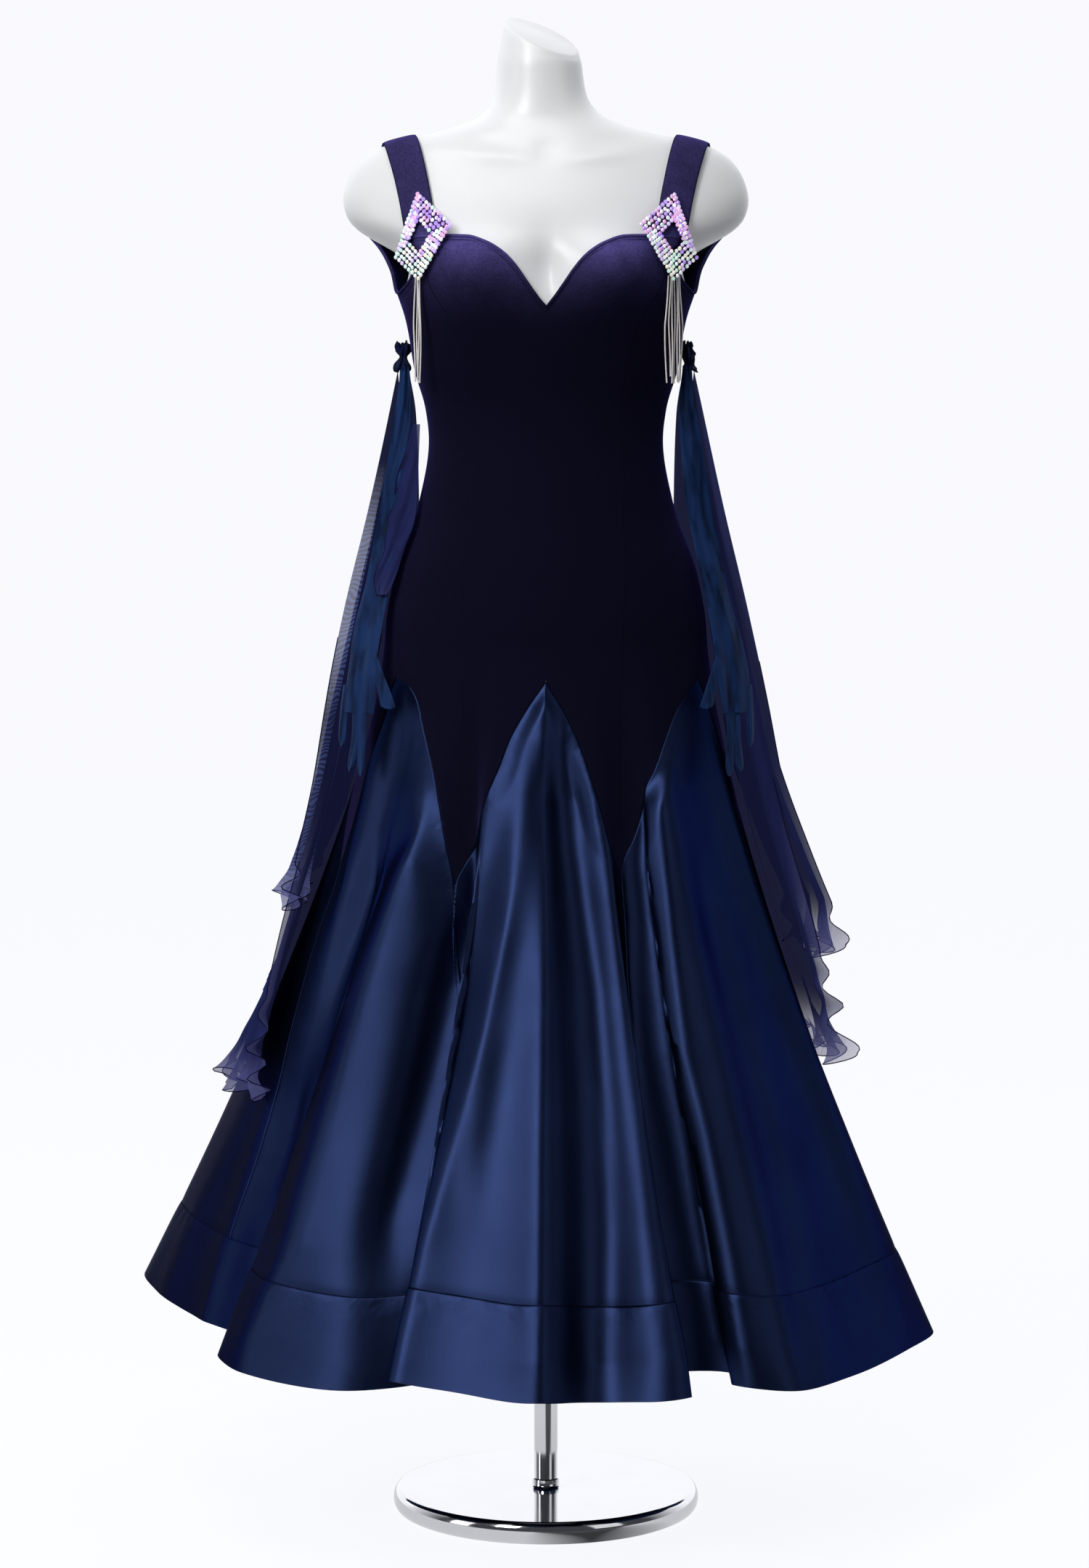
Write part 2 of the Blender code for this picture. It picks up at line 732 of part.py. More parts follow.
def front_y(x, z, off):
    """The depth of the front surface of the form, moved outwards."""
    half_width = form_half_width(z) + off
    share = min(abs(x) / half_width, 0.999)
    angle = math.degrees(math.asin(share))
    return -(form_front(z) + off) * math.sqrt(1 - share**2) - bust(angle, z)


def cloth_y(x, z, off):
    """The depth of the gown's front outside, moved outwards."""
    half_width = form_half_width(z) + WALL_STAND_OFF
    angle = math.degrees(math.asin(min(abs(x) / half_width, 0.999)))
    return front_y(x, z, WALL_STAND_OFF + ease(angle, z) + off)


def back_y(x, z, off):
    """The depth of the back surface of the form, moved outwards."""
    share = min(abs(x) / (form_half_width(z) + off), 0.999)
    return (form_back(z) + off) * math.sqrt(1 - share**2)


def over_shoulder(x, turn, off):
    """A point above the form in a direction about a line through the shoulder."""
    near, far = 0.0, 0.12
    for _ in range(30):
        middle = (near + far) / 2
        y = -middle * math.cos(turn)
        z = STRAP_TURN_Z + middle * math.sin(turn)
        depth = front_y(x, z, off) if y < 0 else back_y(x, z, off)
        inside = abs(x) < form_half_width(z) + off and abs(y) < abs(depth)
        if inside:
            near = middle
        else:
            far = middle
    reach = near + off * 0.5 * max(0.0, math.sin(turn))
    return Vector((x, -reach * math.cos(turn), STRAP_TURN_Z + reach * math.sin(turn)))


def make_strap(side, mat):
    """One strap, from the bust over the shoulder to the back panel."""
    low = STRAP_FOOT_Z + GAP
    high = STRAP_BACK_Z + GAP
    outer, inner = [], []
    for i in range(STRAP_STEPS + 1):
        share = i / STRAP_STEPS
        row_out, row_in = [], []
        for j in range(STRAP_COLUMNS + 1):
            x = strap_x(share) + STRAP_WIDTH * (j / STRAP_COLUMNS - 0.5)
            for off, row in ((STRAP_OUTSIDE, row_out), (STRAP_INSIDE, row_in)):
                start = math.atan2(low - STRAP_TURN_Z, -front_y(x, low, off))
                end = math.pi - math.atan2(high - STRAP_TURN_Z, back_y(x, high, off))
                point = over_shoulder(x, start + (end - start) * share, off)
                if i == 0:
                    point.z = low
                if i == STRAP_STEPS:
                    point.z = high
                row.append(Vector((side * point.x, point.y, point.z)))
        outer.append(row_out)
        inner.append(row_in)
    wall("strap_" + side_name(side), outer, inner, mat)


def side_name(side):
    """The word for a side of the picture."""
    return "right" if side > 0 else "left"


def brooch_y(x, z):
    """The back of a brooch: half follows the cloth, half is flat."""
    step = 0.004
    flat = cloth_y(BROOCH_MIDDLE_X, BROOCH_MIDDLE_Z, BROOCH_CLEAR)
    nearer = cloth_y(BROOCH_MIDDLE_X - step, BROOCH_MIDDLE_Z, BROOCH_CLEAR)
    farther = cloth_y(BROOCH_MIDDLE_X + step, BROOCH_MIDDLE_Z, BROOCH_CLEAR)
    flat += (farther - nearer) / (2 * step) * (x - BROOCH_MIDDLE_X)
    cloth = cloth_y(x, z, BROOCH_CLEAR)
    return min(cloth, flat * (1 - BROOCH_BEND) + cloth * BROOCH_BEND)


def make_brooch(side, mat):
    """A kite-shaped ring plate that carries the stones."""
    rings = []
    for thick in (0.0, BROOCH_THICKNESS):
        for corners in (BROOCH, WINDOW):
            points = []
            for (x0, z0), (x1, z1) in zip(corners, corners[1:] + corners[:1]):
                for i in range(BROOCH_STEPS):
                    x = x0 + (x1 - x0) * i / BROOCH_STEPS
                    z = z0 + (z1 - z0) * i / BROOCH_STEPS
                    points.append((side * x, brooch_y(x, z) - thick, z))
            rings.append(points)
    back_out, back_in, front_out, front_in = rings
    bm = bmesh.new()
    loops = [[bm.verts.new(p) for p in points] for points in (back_out, front_out, front_in, back_in)]
    count = len(back_out)
    for low, high in zip(loops, loops[1:] + loops[:1]):
        for j in range(count):
            k = (j + 1) % count
            bm.faces.new((low[j], low[k], high[k], high[j]))
    link("brooch_" + side_name(side), bm, mat, 30.0)


def tassel_y(x):
    """Depth of a tassel: under the brooch's corner and clear of the cloth below it."""
    cloth = [cloth_y(x, TASSEL_TOP - drop, TASSEL_CLEAR + STRAND) for drop in TASSEL_DROPS]
    return min(cloth + [brooch_y(x, TASSEL_TOP) - BROOCH_THICKNESS / 2])


def make_tassel(side, strands, mat):
    """A small head with separate hanging strands."""
    bm = bmesh.new()
    starts = [(j - (strands - 1) / 2) * STRAND_PITCH for j in range(strands)]
    edges = [starts[0] - STRAND / 2 - TASSEL_LIP]
    for start in starts:
        edges += [start - STRAND / 2, start + STRAND / 2]
    edges.append(starts[-1] + STRAND / 2 + TASSEL_LIP)

    def corner(across, depth, z):
        x = TASSEL_X + across
        return bm.verts.new((side * x, tassel_y(x) + depth, z))

    top = [[corner(e, d, TASSEL_TOP - GAP) for e in edges] for d in (-STRAND / 2, STRAND / 2)]
    low = [[corner(e, d, TASSEL_TOP - TASSEL_HEAD) for e in edges] for d in (-STRAND / 2, STRAND / 2)]
    last = len(edges) - 1
    for j in range(last):
        bm.faces.new((top[0][j], top[0][j + 1], top[1][j + 1], top[1][j]))
        for row in (0, 1):
            bm.faces.new((top[row][j], top[row][j + 1], low[row][j + 1], low[row][j]))
        if j % 2 == 0:
            bm.faces.new((low[0][j], low[0][j + 1], low[1][j + 1], low[1][j]))
    for j in (0, last):
        bm.faces.new((top[0][j], top[1][j], low[1][j], low[0][j]))
    for n, start in enumerate(starts):
        j = 1 + 2 * n
        loop = [low[0][j], low[0][j + 1], low[1][j + 1], low[1][j]]
        length = TASSEL_LENGTH * (1.0 - TASSEL_UNEVEN * ((n * 5) % 4) / 3)
        for part in STRAND_PARTS:
            spread = start * TASSEL_SPLAY * math.sin(math.pi * min(part, 0.9))
            z = TASSEL_TOP - TASSEL_HEAD - (length - TASSEL_HEAD) * part
            now = [corner(start + spread + across * STRAND / 2, depth * STRAND / 2, z)
                   for across, depth in ((-1, -1), (1, -1), (1, 1), (-1, 1))]
            for k in range(4):
                m = (k + 1) % 4
                bm.faces.new((loop[k], loop[m], now[m], now[k]))
            loop = now
        bm.faces.new(loop)
    link("tassel_" + side_name(side), bm, mat, 60.0)


# Cuffs, floats and gloves

def cuff_x(side):
    """How far from the middle a cuff hangs, touching the velvet."""
    seat = RIGHT_CUFF_SEAT if side > 0 else LEFT_CUFF_SEAT
    return gown(90.0, CUFF_Z + CUFF_HEIGHT / 2).x + CUFF_RADIUS * seat


def make_cuff(side, mat):
    """A small gathered ruffle that hangs at the side seam."""
    sides = CUFF_LOBES * 4
    rings = []
    for z, grow in ((-0.5, 0.9), (-0.1, 0.72), (0.15, 0.8), (0.5, 1.0)):
        points = []
        for j in range(sides):
            turn = 2 * math.pi * j / sides
            radius = CUFF_RADIUS * grow * (1 + 0.2 * math.sin(CUFF_LOBES * turn + z))
            points.append((side * (cuff_x(side) + radius * math.cos(turn)),
                           CUFF_Y + radius * math.sin(turn), CUFF_Z + CUFF_HEIGHT * z))
        rings.append(points)
    loft("cuff_" + side_name(side), rings, mat, 60.0)


def float_point(rows, side, across, down, off, waves, clear):
    """A point of a float; across runs from its front edge to its back edge."""
    z = rows[0].z + (rows[-1].z - rows[0].z) * down
    outer = column(rows, "z", "outer")(z)
    inner = column(rows, "z", "inner")(z)
    first = column(rows, "z", "first")(z)
    last = column(rows, "z", "last")(z)
    angle = first + (last - first) * across
    reach = outer + (inner - outer) * across
    amount = FLOAT_WAVE * min(1.0, down * 1.6)
    reach += amount * (math.sin(2 * math.pi * waves * across + 3.0 * down) - 1.0) * 0.5
    if z < HIP_Z + 0.03:
        reach = max(reach, skirt_reach(side * angle, z) + clear)
    turn = math.radians(angle)
    reach += off
    return Vector((side * reach * math.sin(turn), -reach * math.cos(turn), z))


def make_float(name, rows, side, waves, clear, mat):
    """One layer of hanging chiffon, gathered at the cuff and wide at its end."""
    outer, inner = [], []
    count = round((rows[0].z - rows[-1].z) / FLOAT_ROW)
    for i in range(count + 1):
        down = i / count
        for off, grid in ((CHIFFON, outer), (0.0, inner)):
            grid.append([float_point(rows, side, j / FLOAT_COLUMNS, down, off, waves, clear)
                         for j in range(FLOAT_COLUMNS + 1)])
    for row in (outer[-1], inner[-1]):
        for j, point in enumerate(row):
            point.z += FLOAT_HEM_WAVE * math.sin(2.4 * j)
    wall(name + side_name(side), outer, inner, mat)


def glove_y(x, z):
    """Depth of the glove's back face, slanted to lie along the hip."""
    heights = [row.z for row in GLOVE_LAY]
    depth = np.interp(z, heights, [row.depth for row in GLOVE_LAY])
    middle = np.interp(z, heights, [row.middle for row in GLOVE_LAY])
    slope = np.interp(z, heights, [row.slope for row in GLOVE_LAY])
    return depth + slope * (x - middle)


def flat_tube(rows, sides=10):
    """Rings of a flattened tube hanging down through rows of edges."""
    rings = []
    for z, near, far, thick in rows:
        middle, half = (near + far) / 2, (far - near) / 2
        points = []
        for j in range(sides):
            turn = 2 * math.pi * j / sides
            x = middle + half * math.cos(turn)
            puff = math.sin(turn)
            y = glove_y(x, z) - thick / 2 * (1 + puff)
            points.append((x, y, z))
        rings.append(points)
    return rings


def make_glove(side, mat):
    """An empty long glove: a flat sleeve with a thumb and fingers."""
    rows = [(row.z, row.near, row.far, MESH_GLOVE) for row in GLOVE]
    pieces = [flat_tube(rows)]
    for finger in FINGERS:
        parts = []
        for share, width in ((0.0, 1.0), (0.5, 1.0), (0.9, 0.85), (1.0, 0.5)):
            x = finger.root_x + (finger.tip_x - finger.root_x) * share
            z = finger.root_z + (finger.tip_z - finger.root_z) * share
            half = finger.width * width / 2
            parts.append((z, x - half, x + half, MESH_GLOVE * (0.9 if share else 0.7)))
        pieces.append(flat_tube(parts, 8))
    objects = []
    for n, rings in enumerate(pieces):
        turned_rings = [[(side * x, y, z) for x, y, z in points] for points in rings]
        name = "glove_" + side_name(side)
        objects.append(loft(name if n == 0 else name + "_finger_" + str(n), turned_rings, mat))
    hand = objects[0]
    for finger in objects[1:]:
        join = hand.modifiers.new("join_" + finger.name, "BOOLEAN")
        join.operation = "UNION"
        join.object = finger
        finger.hide_render = True
        finger.display_type = "WIRE"


def main():
    """Clear the scene and build every piece."""
    for obj in list(bpy.data.objects):
        bpy.data.objects.remove(obj, do_unlink=True)
    chrome = material("chrome", (0.82, 0.83, 0.85), 0.06, 1.0)
    white = material("white_gloss", (0.86, 0.87, 0.88), 0.18)
    velvet = material("navy_velvet", (0.010, 0.007, 0.035), 0.85)
    satin = material("navy_satin", (0.018, 0.032, 0.115), 0.32)
    chiffon = material("navy_chiffon", (0.020, 0.022, 0.080), 0.70)
    mesh = material("blue_mesh", (0.025, 0.070, 0.200), 0.60)
    stones = material("stone_cloth", (0.62, 0.58, 0.74), 0.15, 0.2)
    silver = material("silver_cord", (0.78, 0.75, 0.72), 0.30, 0.6)
    make_stand(chrome)
    make_form(white)
    for godet in GODETS:
        make_velvet(godet, velvet)
        make_godet(godet, satin)
        make_band(godet, satin)
    for side, strands in ((LEFT, LEFT_STRANDS), (RIGHT, RIGHT_STRANDS)):
        make_strap(side, velvet)
        make_brooch(side, stones)
        make_tassel(side, strands, silver)
        make_cuff(side, mesh)
        make_float("float_long_", LONG_FLOAT, side, LONG_WAVES, LONG_CLEAR, chiffon)
        make_float("float_short_", SHORT_FLOAT, side, SHORT_WAVES, SHORT_CLEAR, chiffon)
        make_glove(side, mesh)


main()
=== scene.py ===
"""The looks of a navy ballroom gown on a white limbless form with a chrome stand.

Metres, +Z up, the gown faces -Y, the origin is on the floor under the pole.
Angles round the body are degrees: 0 at the front, 90 at +X, 180 at the back.
A nominal height is the true height down to the hip, then runs evenly along the
cloth from the hip to the hem, so that one pair of numbers places a stitch.
The tables give lengths in millimetres.
"""
import math
from collections import namedtuple

import bpy
import numpy as np
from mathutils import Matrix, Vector


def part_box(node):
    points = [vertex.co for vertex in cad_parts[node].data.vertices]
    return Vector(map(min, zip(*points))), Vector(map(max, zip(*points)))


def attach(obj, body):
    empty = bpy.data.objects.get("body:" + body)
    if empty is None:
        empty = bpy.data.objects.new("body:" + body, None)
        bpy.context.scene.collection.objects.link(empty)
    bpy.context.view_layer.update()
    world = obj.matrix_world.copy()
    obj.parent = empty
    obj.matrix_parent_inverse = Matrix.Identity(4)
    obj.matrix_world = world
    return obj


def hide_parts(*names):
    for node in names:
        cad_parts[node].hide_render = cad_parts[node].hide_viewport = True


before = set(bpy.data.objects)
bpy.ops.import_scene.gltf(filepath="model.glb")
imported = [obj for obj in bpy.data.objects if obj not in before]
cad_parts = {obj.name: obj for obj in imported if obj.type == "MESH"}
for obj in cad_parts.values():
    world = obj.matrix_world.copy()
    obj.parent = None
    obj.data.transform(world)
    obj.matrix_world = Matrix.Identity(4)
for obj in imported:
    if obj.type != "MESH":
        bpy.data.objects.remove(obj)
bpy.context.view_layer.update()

SIDES = ((-1, "left"), (1, "right"))

# How far the gown stands off the form, and its walls
CLEARANCE = 0.0025
VELVET = 0.0018
SATIN = 0.0011
BAND = 0.0019
WALL_STAND_OFF = CLEARANCE + VELVET

# Nominal heights on the gown
HIP_Z = 0.935
GODET_TOP = 0.897
GODET_TIP = 0.690
BAND_TOP = 0.285
HEM_Z = 0.195
FLARE_POWER = 1.25
FOLD_POWER = 1.3

# Columns of the tables that aren't lengths
NOT_LENGTHS = ("angle", "first", "last", "share", "slope")


def table(names, *rows):
    """The columns of a table by name, lengths turned into metres."""
    return {name: np.array(column) / (1 if name in NOT_LENGTHS else 1000)
            for name, column in zip(names.split(), zip(*rows))}


# The form from its flat underside to the root of the neck
FORM = table(
    "z half_width front back shift",
    (790, 140, 90, 98, 0), (802, 150, 97, 106, 0), (860, 161, 102, 116, 0), (935, 165.5, 101.5, 117, 0),
    (1000, 156, 95, 105, 0), (1072, 131, 84, 84, 0), (1144, 118.8, 78, 73, 0), (1177, 122.5, 80, 76, 0),
    (1215, 133.5, 88, 84, 0), (1255, 140, 98, 92, 0), (1285, 146, 106, 97, 0), (1310, 153, 108.5, 99, 0),
    (1333, 160, 107, 99, 0), (1348, 176, 103, 98, 0), (1360, 195, 98, 96, 0), (1374, 208, 93, 93, 0),
    (1393, 212.7, 86, 89, 0), (1412, 208.5, 78, 82, 0), (1435, 194, 68, 73, 0), (1450, 170, 60, 65, 0),
    (1460, 130, 55, 60, -1), (1468, 96, 51, 56, -2), (1479, 67, 47, 52, -4), (1490, 54, 45.5, 49.5, -5),
    (1505, 48, 44.5, 47.5, -6), (1535, 44.5, 44, 46, -7))

# The slanted cut face of the neck
CAP_MIDDLE_Z = 1.5630
CAP_HALF_WIDTH = 0.0385
CAP_FRONT = 0.040
CAP_BACK = 0.042
CAP_SHIFT = -0.005
CAP_SLOPE_X = -0.40
CAP_SLOPE_Y = 0.36

# Bust and the hollow between
BUST_ANGLE = 31.0
BUST_SPREAD = 17.0
BUST_Z = 1.318
BUST_RISE = 0.036
BUST_DEPTH = 0.017
HOLLOW_DEPTH = 0.008
HOLLOW_SPREAD = 12.0

# The gown stands off the form under the arm, and the form is hollow there
EASE_Z = 1.300
EASE_RISE = 0.022
EASE_DEPTH = 0.003
ARMHOLE_ANGLE = 106.0
ARMHOLE_SPREAD = 13.0
ARMHOLE_Z = 1.333
ARMHOLE_RISE = 0.016
ARMHOLE_DEPTH = 0.007
UNDERARM_ANGLE = 94.0
UNDERARM_SPREAD = 27.0
UNDERARM_Z = 1.324
UNDERARM_RISE = 0.019
UNDERARM_DEPTH = 0.014

# Outline that the skirt would have at its hem without folds
HEM_HALF_WIDTH = 0.408
HEM_FRONT = 0.335
HEM_BACK = 0.330

# Hem, one row for each ridge, valley and turn, from the back round to the back
HEM = table(
    "angle x y z",
    (-180, 0, 325, 200), (-173, -62, 336, 200), (-165, -125, 348, 200), (-157, -172, 295, 205),
    (-151, -178, 240, 210), (-143, -215, 250, 208), (-135, -275, 298, 205), (-126, -350, 333, 205),
    (-116, -430, 318, 205), (-107, -452, 240, 205), (-98, -412, 95, 205), (-88, -360, -22, 206),
    (-68, -324, -72, 206), (-56, -300, -90, 205), (-48, -320, -106, 202), (-42, -341.5, -132, 196),
    (-38, -314, -188, 190), (-34.5, -262, -234, 187), (-31, -200, -256, 185), (-28, -138, -238, 187),
    (-24.5, -80, -220, 196), (-19.5, -122, -278, 206), (-15, -158, -314, 210), (-8.5, -92, -334, 203),
    (0, -7, -353, 194), (5.5, 52, -331, 194), (11, 112, -339, 194), (15, 145, -322, 195),
    (19.5, 121, -284, 197), (24.5, 112, -240, 200), (26.5, 165, -222, 200), (28.5, 206, -236, 199),
    (31, 184, -262, 196), (34.5, 240, -279, 190), (42, 315, -206, 190), (52, 375, -108, 194),
    (63, 411.5, -36, 199), (73, 386, 14, 205), (88, 350, 85, 208), (98, 380, 135, 206),
    (107, 402, 190, 205), (117, 368, 262, 205), (127, 300, 290, 205), (137, 232, 272, 205),
    (151, 172, 235, 210), (157, 166, 292, 205), (165, 120, 347, 200), (173, 60, 336, 200),
    (180, 0, 325, 200))

# Top edge of the velvet on one side: neckline, strap foot, armhole, back
STRAP_FOOT_Z = 1.3526
STRAP_BACK_Z = 1.3720
TOP_EDGE = table(
    "angle z",
    (0, 1279), (3.2, 1289), (7.4, 1305.5), (11, 1320.5), (15.2, 1334.5), (20, 1345.5), (25.5, 1352),
    (31, 1352.6), (50.5, 1352.6), (53.5, 1342), (57.5, 1323), (62, 1310), (70, 1301), (80, 1296),
    (90, 1300), (98, 1323), (106, 1352), (117, 1372), (136, 1372), (145, 1345), (158, 1285), (170, 1255),
    (180, 1250))

# The seam over the bust, as its angle at each height
FRONT_SEAM = table(
    "angle z",
    (24.5, 600), (24.5, 690), (28.5, 935), (34, 1040), (41.5, 1144), (37, 1215), (43, 1270), (50, 1300),
    (52, 1352.6))

Godet = namedtuple("Godet", "name middle left right")
GODETS = [
    Godet("front", 0.0, -24.5, 24.5),
    Godet("front_left", -64.0, -88.0, -24.5),
    Godet("front_right", 64.0, 24.5, 88.0),
    Godet("back_left", -121.0, -151.0, -88.0),
    Godet("back_right", 121.0, 88.0, 151.0),
    Godet("back", 180.0, 151.0, 209.0),
]

# Edges of the velvet's points as they hang in front, spots as (z, x) from peak to tip
FRONT_EDGES = {
    ("front", "left"): [(897, -1), (870, -19), (836, -38), (802, -51), (753, -68), (710, -84), (690, -94)],
    ("front", "right"): [(897, -1), (862, 21), (821, 39.5), (776, 54), (735, 65), (690, 78)],
    ("front_left", "right"): [(897, -147), (885, -140), (851, -128.5), (806, -117), (768, -109),
                              (727, -101.5), (690, -94)],
    ("front_right", "left"): [(897, 153), (866, 137), (836, 124), (806, 112), (765, 98.5), (731, 89),
                              (690, 78)],
}
EDGE_POWER = 0.8
SEAM_SETTLED = 0.38

# Satin folds finer than the hem table: how far each stands out (or sinks, below zero), its
# width, whether its top is sharp, and spots down it as (z, x)
FRONT_FOLDS = [
    (13, 26, True, (895, -4), (776, 0), (690, 1), (440, -5), (200, -7)),
    (-20, 34, False, (840, 10), (740, 24), (590, 48), (480, 56), (365, 60), (200, 56)),
    (6, 24, False, (740, 62), (660, 80), (590, 94), (480, 112), (360, 128), (200, 138)),
    (4, 18, False, (850, -12), (776, -21), (690, -38), (560, -56), (430, -75)),
    (-9, 24, False, (740, -60), (660, -74), (560, -98), (460, -124), (350, -156)),
    (5, 16, True, (700, -30), (640, -40), (540, -62), (440, -92), (330, -125), (200, -150)),
    (17, 24, True, (768, -118), (700, -142), (587, -177), (443, -219), (322, -253), (200, -304)),
    (-12, 20, False, (740, -142), (690, -176), (610, -210), (540, -236), (443, -268), (360, -292)),
    (8, 18, False, (860, -168), (760, -184), (680, -204), (600, -228), (500, -256)),
    (-7, 32, False, (640, -112), (560, -124), (440, -150), (300, -176)),
    (14, 24, True, (830, 110), (812, 113), (725, 121), (630, 131), (520, 145), (435, 166), (322, 187),
     (200, 208)),
    (-6, 24, False, (740, 88), (630, 96), (520, 106), (435, 122), (322, 140)),
    (-6, 36, False, (840, 160), (700, 195), (560, 235), (400, 280), (220, 320)),
    (7, 13, False, (600, -262), (490, -300), (400, -335), (310, -378), (200, -420)),
    (7, 13, False, (660, -225), (575, -250), (440, -292), (300, -336), (200, -360)),
    (5, 20, False, (800, 200), (600, 262), (440, 310), (200, 372)),
    (-5.5, 18, False, (700, 160), (500, 210), (350, 245), (200, 268)),
]
BACK_FOLDS = [
    (6, 22, False, (860, 0), (600, 4), (200, 0)),
    (-6, 24, False, (760, -130), (500, -190), (220, -240)),
    (-6, 24, False, (760, 130), (500, 180), (220, 230)),
]


# Curves through tables

def within(values):
    """Values held between 0 and 1."""
    return np.clip(values, 0.0, 1.0)


def bell(values, middle, width):
    """A smooth rise to 1 at the middle."""
    return np.exp(-((values - middle) / width) ** 2)


def unit(vectors):
    """The same directions with a length of 1."""
    return vectors / np.maximum(np.linalg.norm(vectors, axis=-1, keepdims=True), 1e-12)


def slopes(xs, ys):
    """Slopes that keep a curve through the points free of overshoot."""
    steps = np.diff(xs)
    rates = np.diff(ys) / steps
    out = np.zeros(len(xs))
    out[0], out[-1] = rates[0], rates[-1]
    for i in range(1, len(xs) - 1):
        if rates[i - 1] * rates[i] > 0:
            a, b = steps[i - 1], steps[i]
            out[i] = (a + b) / ((a + 2 * b) / (3 * rates[i - 1]) + (2 * a + b) / (3 * rates[i]))
    return out


def curve(xs, ys):
    """A smooth function through a table's rows, flat beyond its ends."""
    order = np.argsort(xs)
    xs = np.asarray(xs, float)[order]
    ys = np.asarray(ys, float)[order]
    tangents = slopes(xs, ys)

    def value(x):
        x = np.clip(x, xs[0], xs[-1])
        i = np.clip(np.searchsorted(xs, x, side="right") - 1, 0, len(xs) - 2)
        step = xs[i + 1] - xs[i]
        u = (x - xs[i]) / step
        return ((2 * u**3 - 3 * u**2 + 1) * ys[i] + (u**3 - 2 * u**2 + u) * step * tangents[i]
                + (3 * u**2 - 2 * u**3) * ys[i + 1] + (u**3 - u**2) * step * tangents[i + 1])

    return value


def read(rows, z, *names):
    """Columns of a table, each read off its smooth curve at heights."""
    return [curve(rows["z"], rows[name])(z) for name in names]


def wrap(angle):
    """The same direction as an angle from -180 to 180 degrees."""
    return (np.asarray(angle) + 180.0) % 360.0 - 180.0


def eased(exact, low, high, blur, around=False):
    """The same curve with its bends softened over a distance."""
    spots = np.arange(low - 4 * blur, high + 4 * blur + blur / 4, blur / 4)
    weights = np.exp(-(np.arange(-12, 13) / 4.0) ** 2 / 2)
    soft = np.convolve(exact(wrap(spots) if around else spots), weights / weights.sum(), mode="same")

    def value(x):
        return np.interp(x, spots, soft)

    return value


form_half_width, form_front, form_back, form_shift = [
    eased(curve(FORM["z"], FORM[name]), FORM["z"][0], FORM["z"][-1], 0.004)
    for name in ("half_width", "front", "back", "shift")]
hem_x, hem_y, hem_z = [
    eased(curve(HEM["angle"], HEM[name]), -180.0, 180.0, 1.0, around=True) for name in ("x", "y", "z")]
top_edge_z = curve(TOP_EDGE["angle"], TOP_EDGE["z"])
front_seam_angle = curve(FRONT_SEAM["z"], FRONT_SEAM["angle"])


# Body and skirt surfaces

def bust(angle, z):
    """How far the bust comes forward at an angle and height."""
    turn = np.abs(wrap(angle))
    lobes = BUST_DEPTH * bell(turn, BUST_ANGLE, BUST_SPREAD)
    return bell(z, BUST_Z, BUST_RISE) * (lobes - HOLLOW_DEPTH * bell(turn, 0.0, HOLLOW_SPREAD))


def ease(angle, z):
    """How far the gown stands away from the form under the arm."""
    near = bell(np.abs(wrap(angle)), ARMHOLE_ANGLE, ARMHOLE_SPREAD) * bell(z, ARMHOLE_Z, ARMHOLE_RISE)
    sideways = np.abs(np.sin(np.radians(angle))) ** 6
    return EASE_DEPTH * bell(z, EASE_Z, EASE_RISE) * sideways + ARMHOLE_DEPTH * near


def ring(angle, half_width, front, back):
    """A point of an oval that is deeper or flatter in front than behind."""
    turn = np.radians(angle)
    depth = np.where(np.cos(turn) > 0, front, back)
    return half_width * np.sin(turn), -depth * np.cos(turn)


def body_ring(angle, z, off):
    """A point of the form's surface, moved outwards."""
    x, y = ring(angle, form_half_width(z) + off, form_front(z) + off, form_back(z) + off)
    return x + form_shift(z), y - bust(angle, z)


def skirt_ring(angle, s):
    """A point of the skirt, s from 0 at the hip to 1 at the hem."""
    hem = (HEM_HALF_WIDTH, HEM_FRONT, HEM_BACK)
    hip = [measure(HIP_Z) + WALL_STAND_OFF for measure in (form_half_width, form_front, form_back)]
    x, y = ring(angle, *[top + (foot - top) * s ** FLARE_POWER for top, foot in zip(hip, hem)])
    plain_x, plain_y = ring(angle, *hem)
    fold = s ** FOLD_POWER
    turn = wrap(angle)
    return x + fold * (hem_x(turn) - plain_x), y + fold * (hem_y(turn) - plain_y)


def gown(angle, height):
    """Points of the gown's outside at angles and nominal heights."""
    angle, height = np.broadcast_arrays(np.asarray(angle, float), np.asarray(height, float))
    z = np.maximum(height, HIP_Z)
    s = np.maximum((HIP_Z - height) / (HIP_Z - HEM_Z), 0.0)
    body = (*body_ring(angle, z, WALL_STAND_OFF + ease(angle, z)), height)
    skirt = (*skirt_ring(angle, s), HIP_Z + (hem_z(wrap(angle)) - HIP_Z) * s)
    return np.stack([np.where(height >= HIP_Z, above, below) for above, below in zip(body, skirt)], -1)


def gown_out(angle, height):
    """The gown's outward directions, the same on both sides of every seam."""
    around = gown(angle + 0.5, height) - gown(angle - 0.5, height)
    down = gown(angle, height - 0.003) - gown(angle, height + 0.003)
    return unit(np.cross(down, around))


def outward(points):
    """The outward directions of a grid whose rows run down and columns run round."""
    return unit(np.cross(np.gradient(points, axis=0), np.gradient(points, axis=1)))


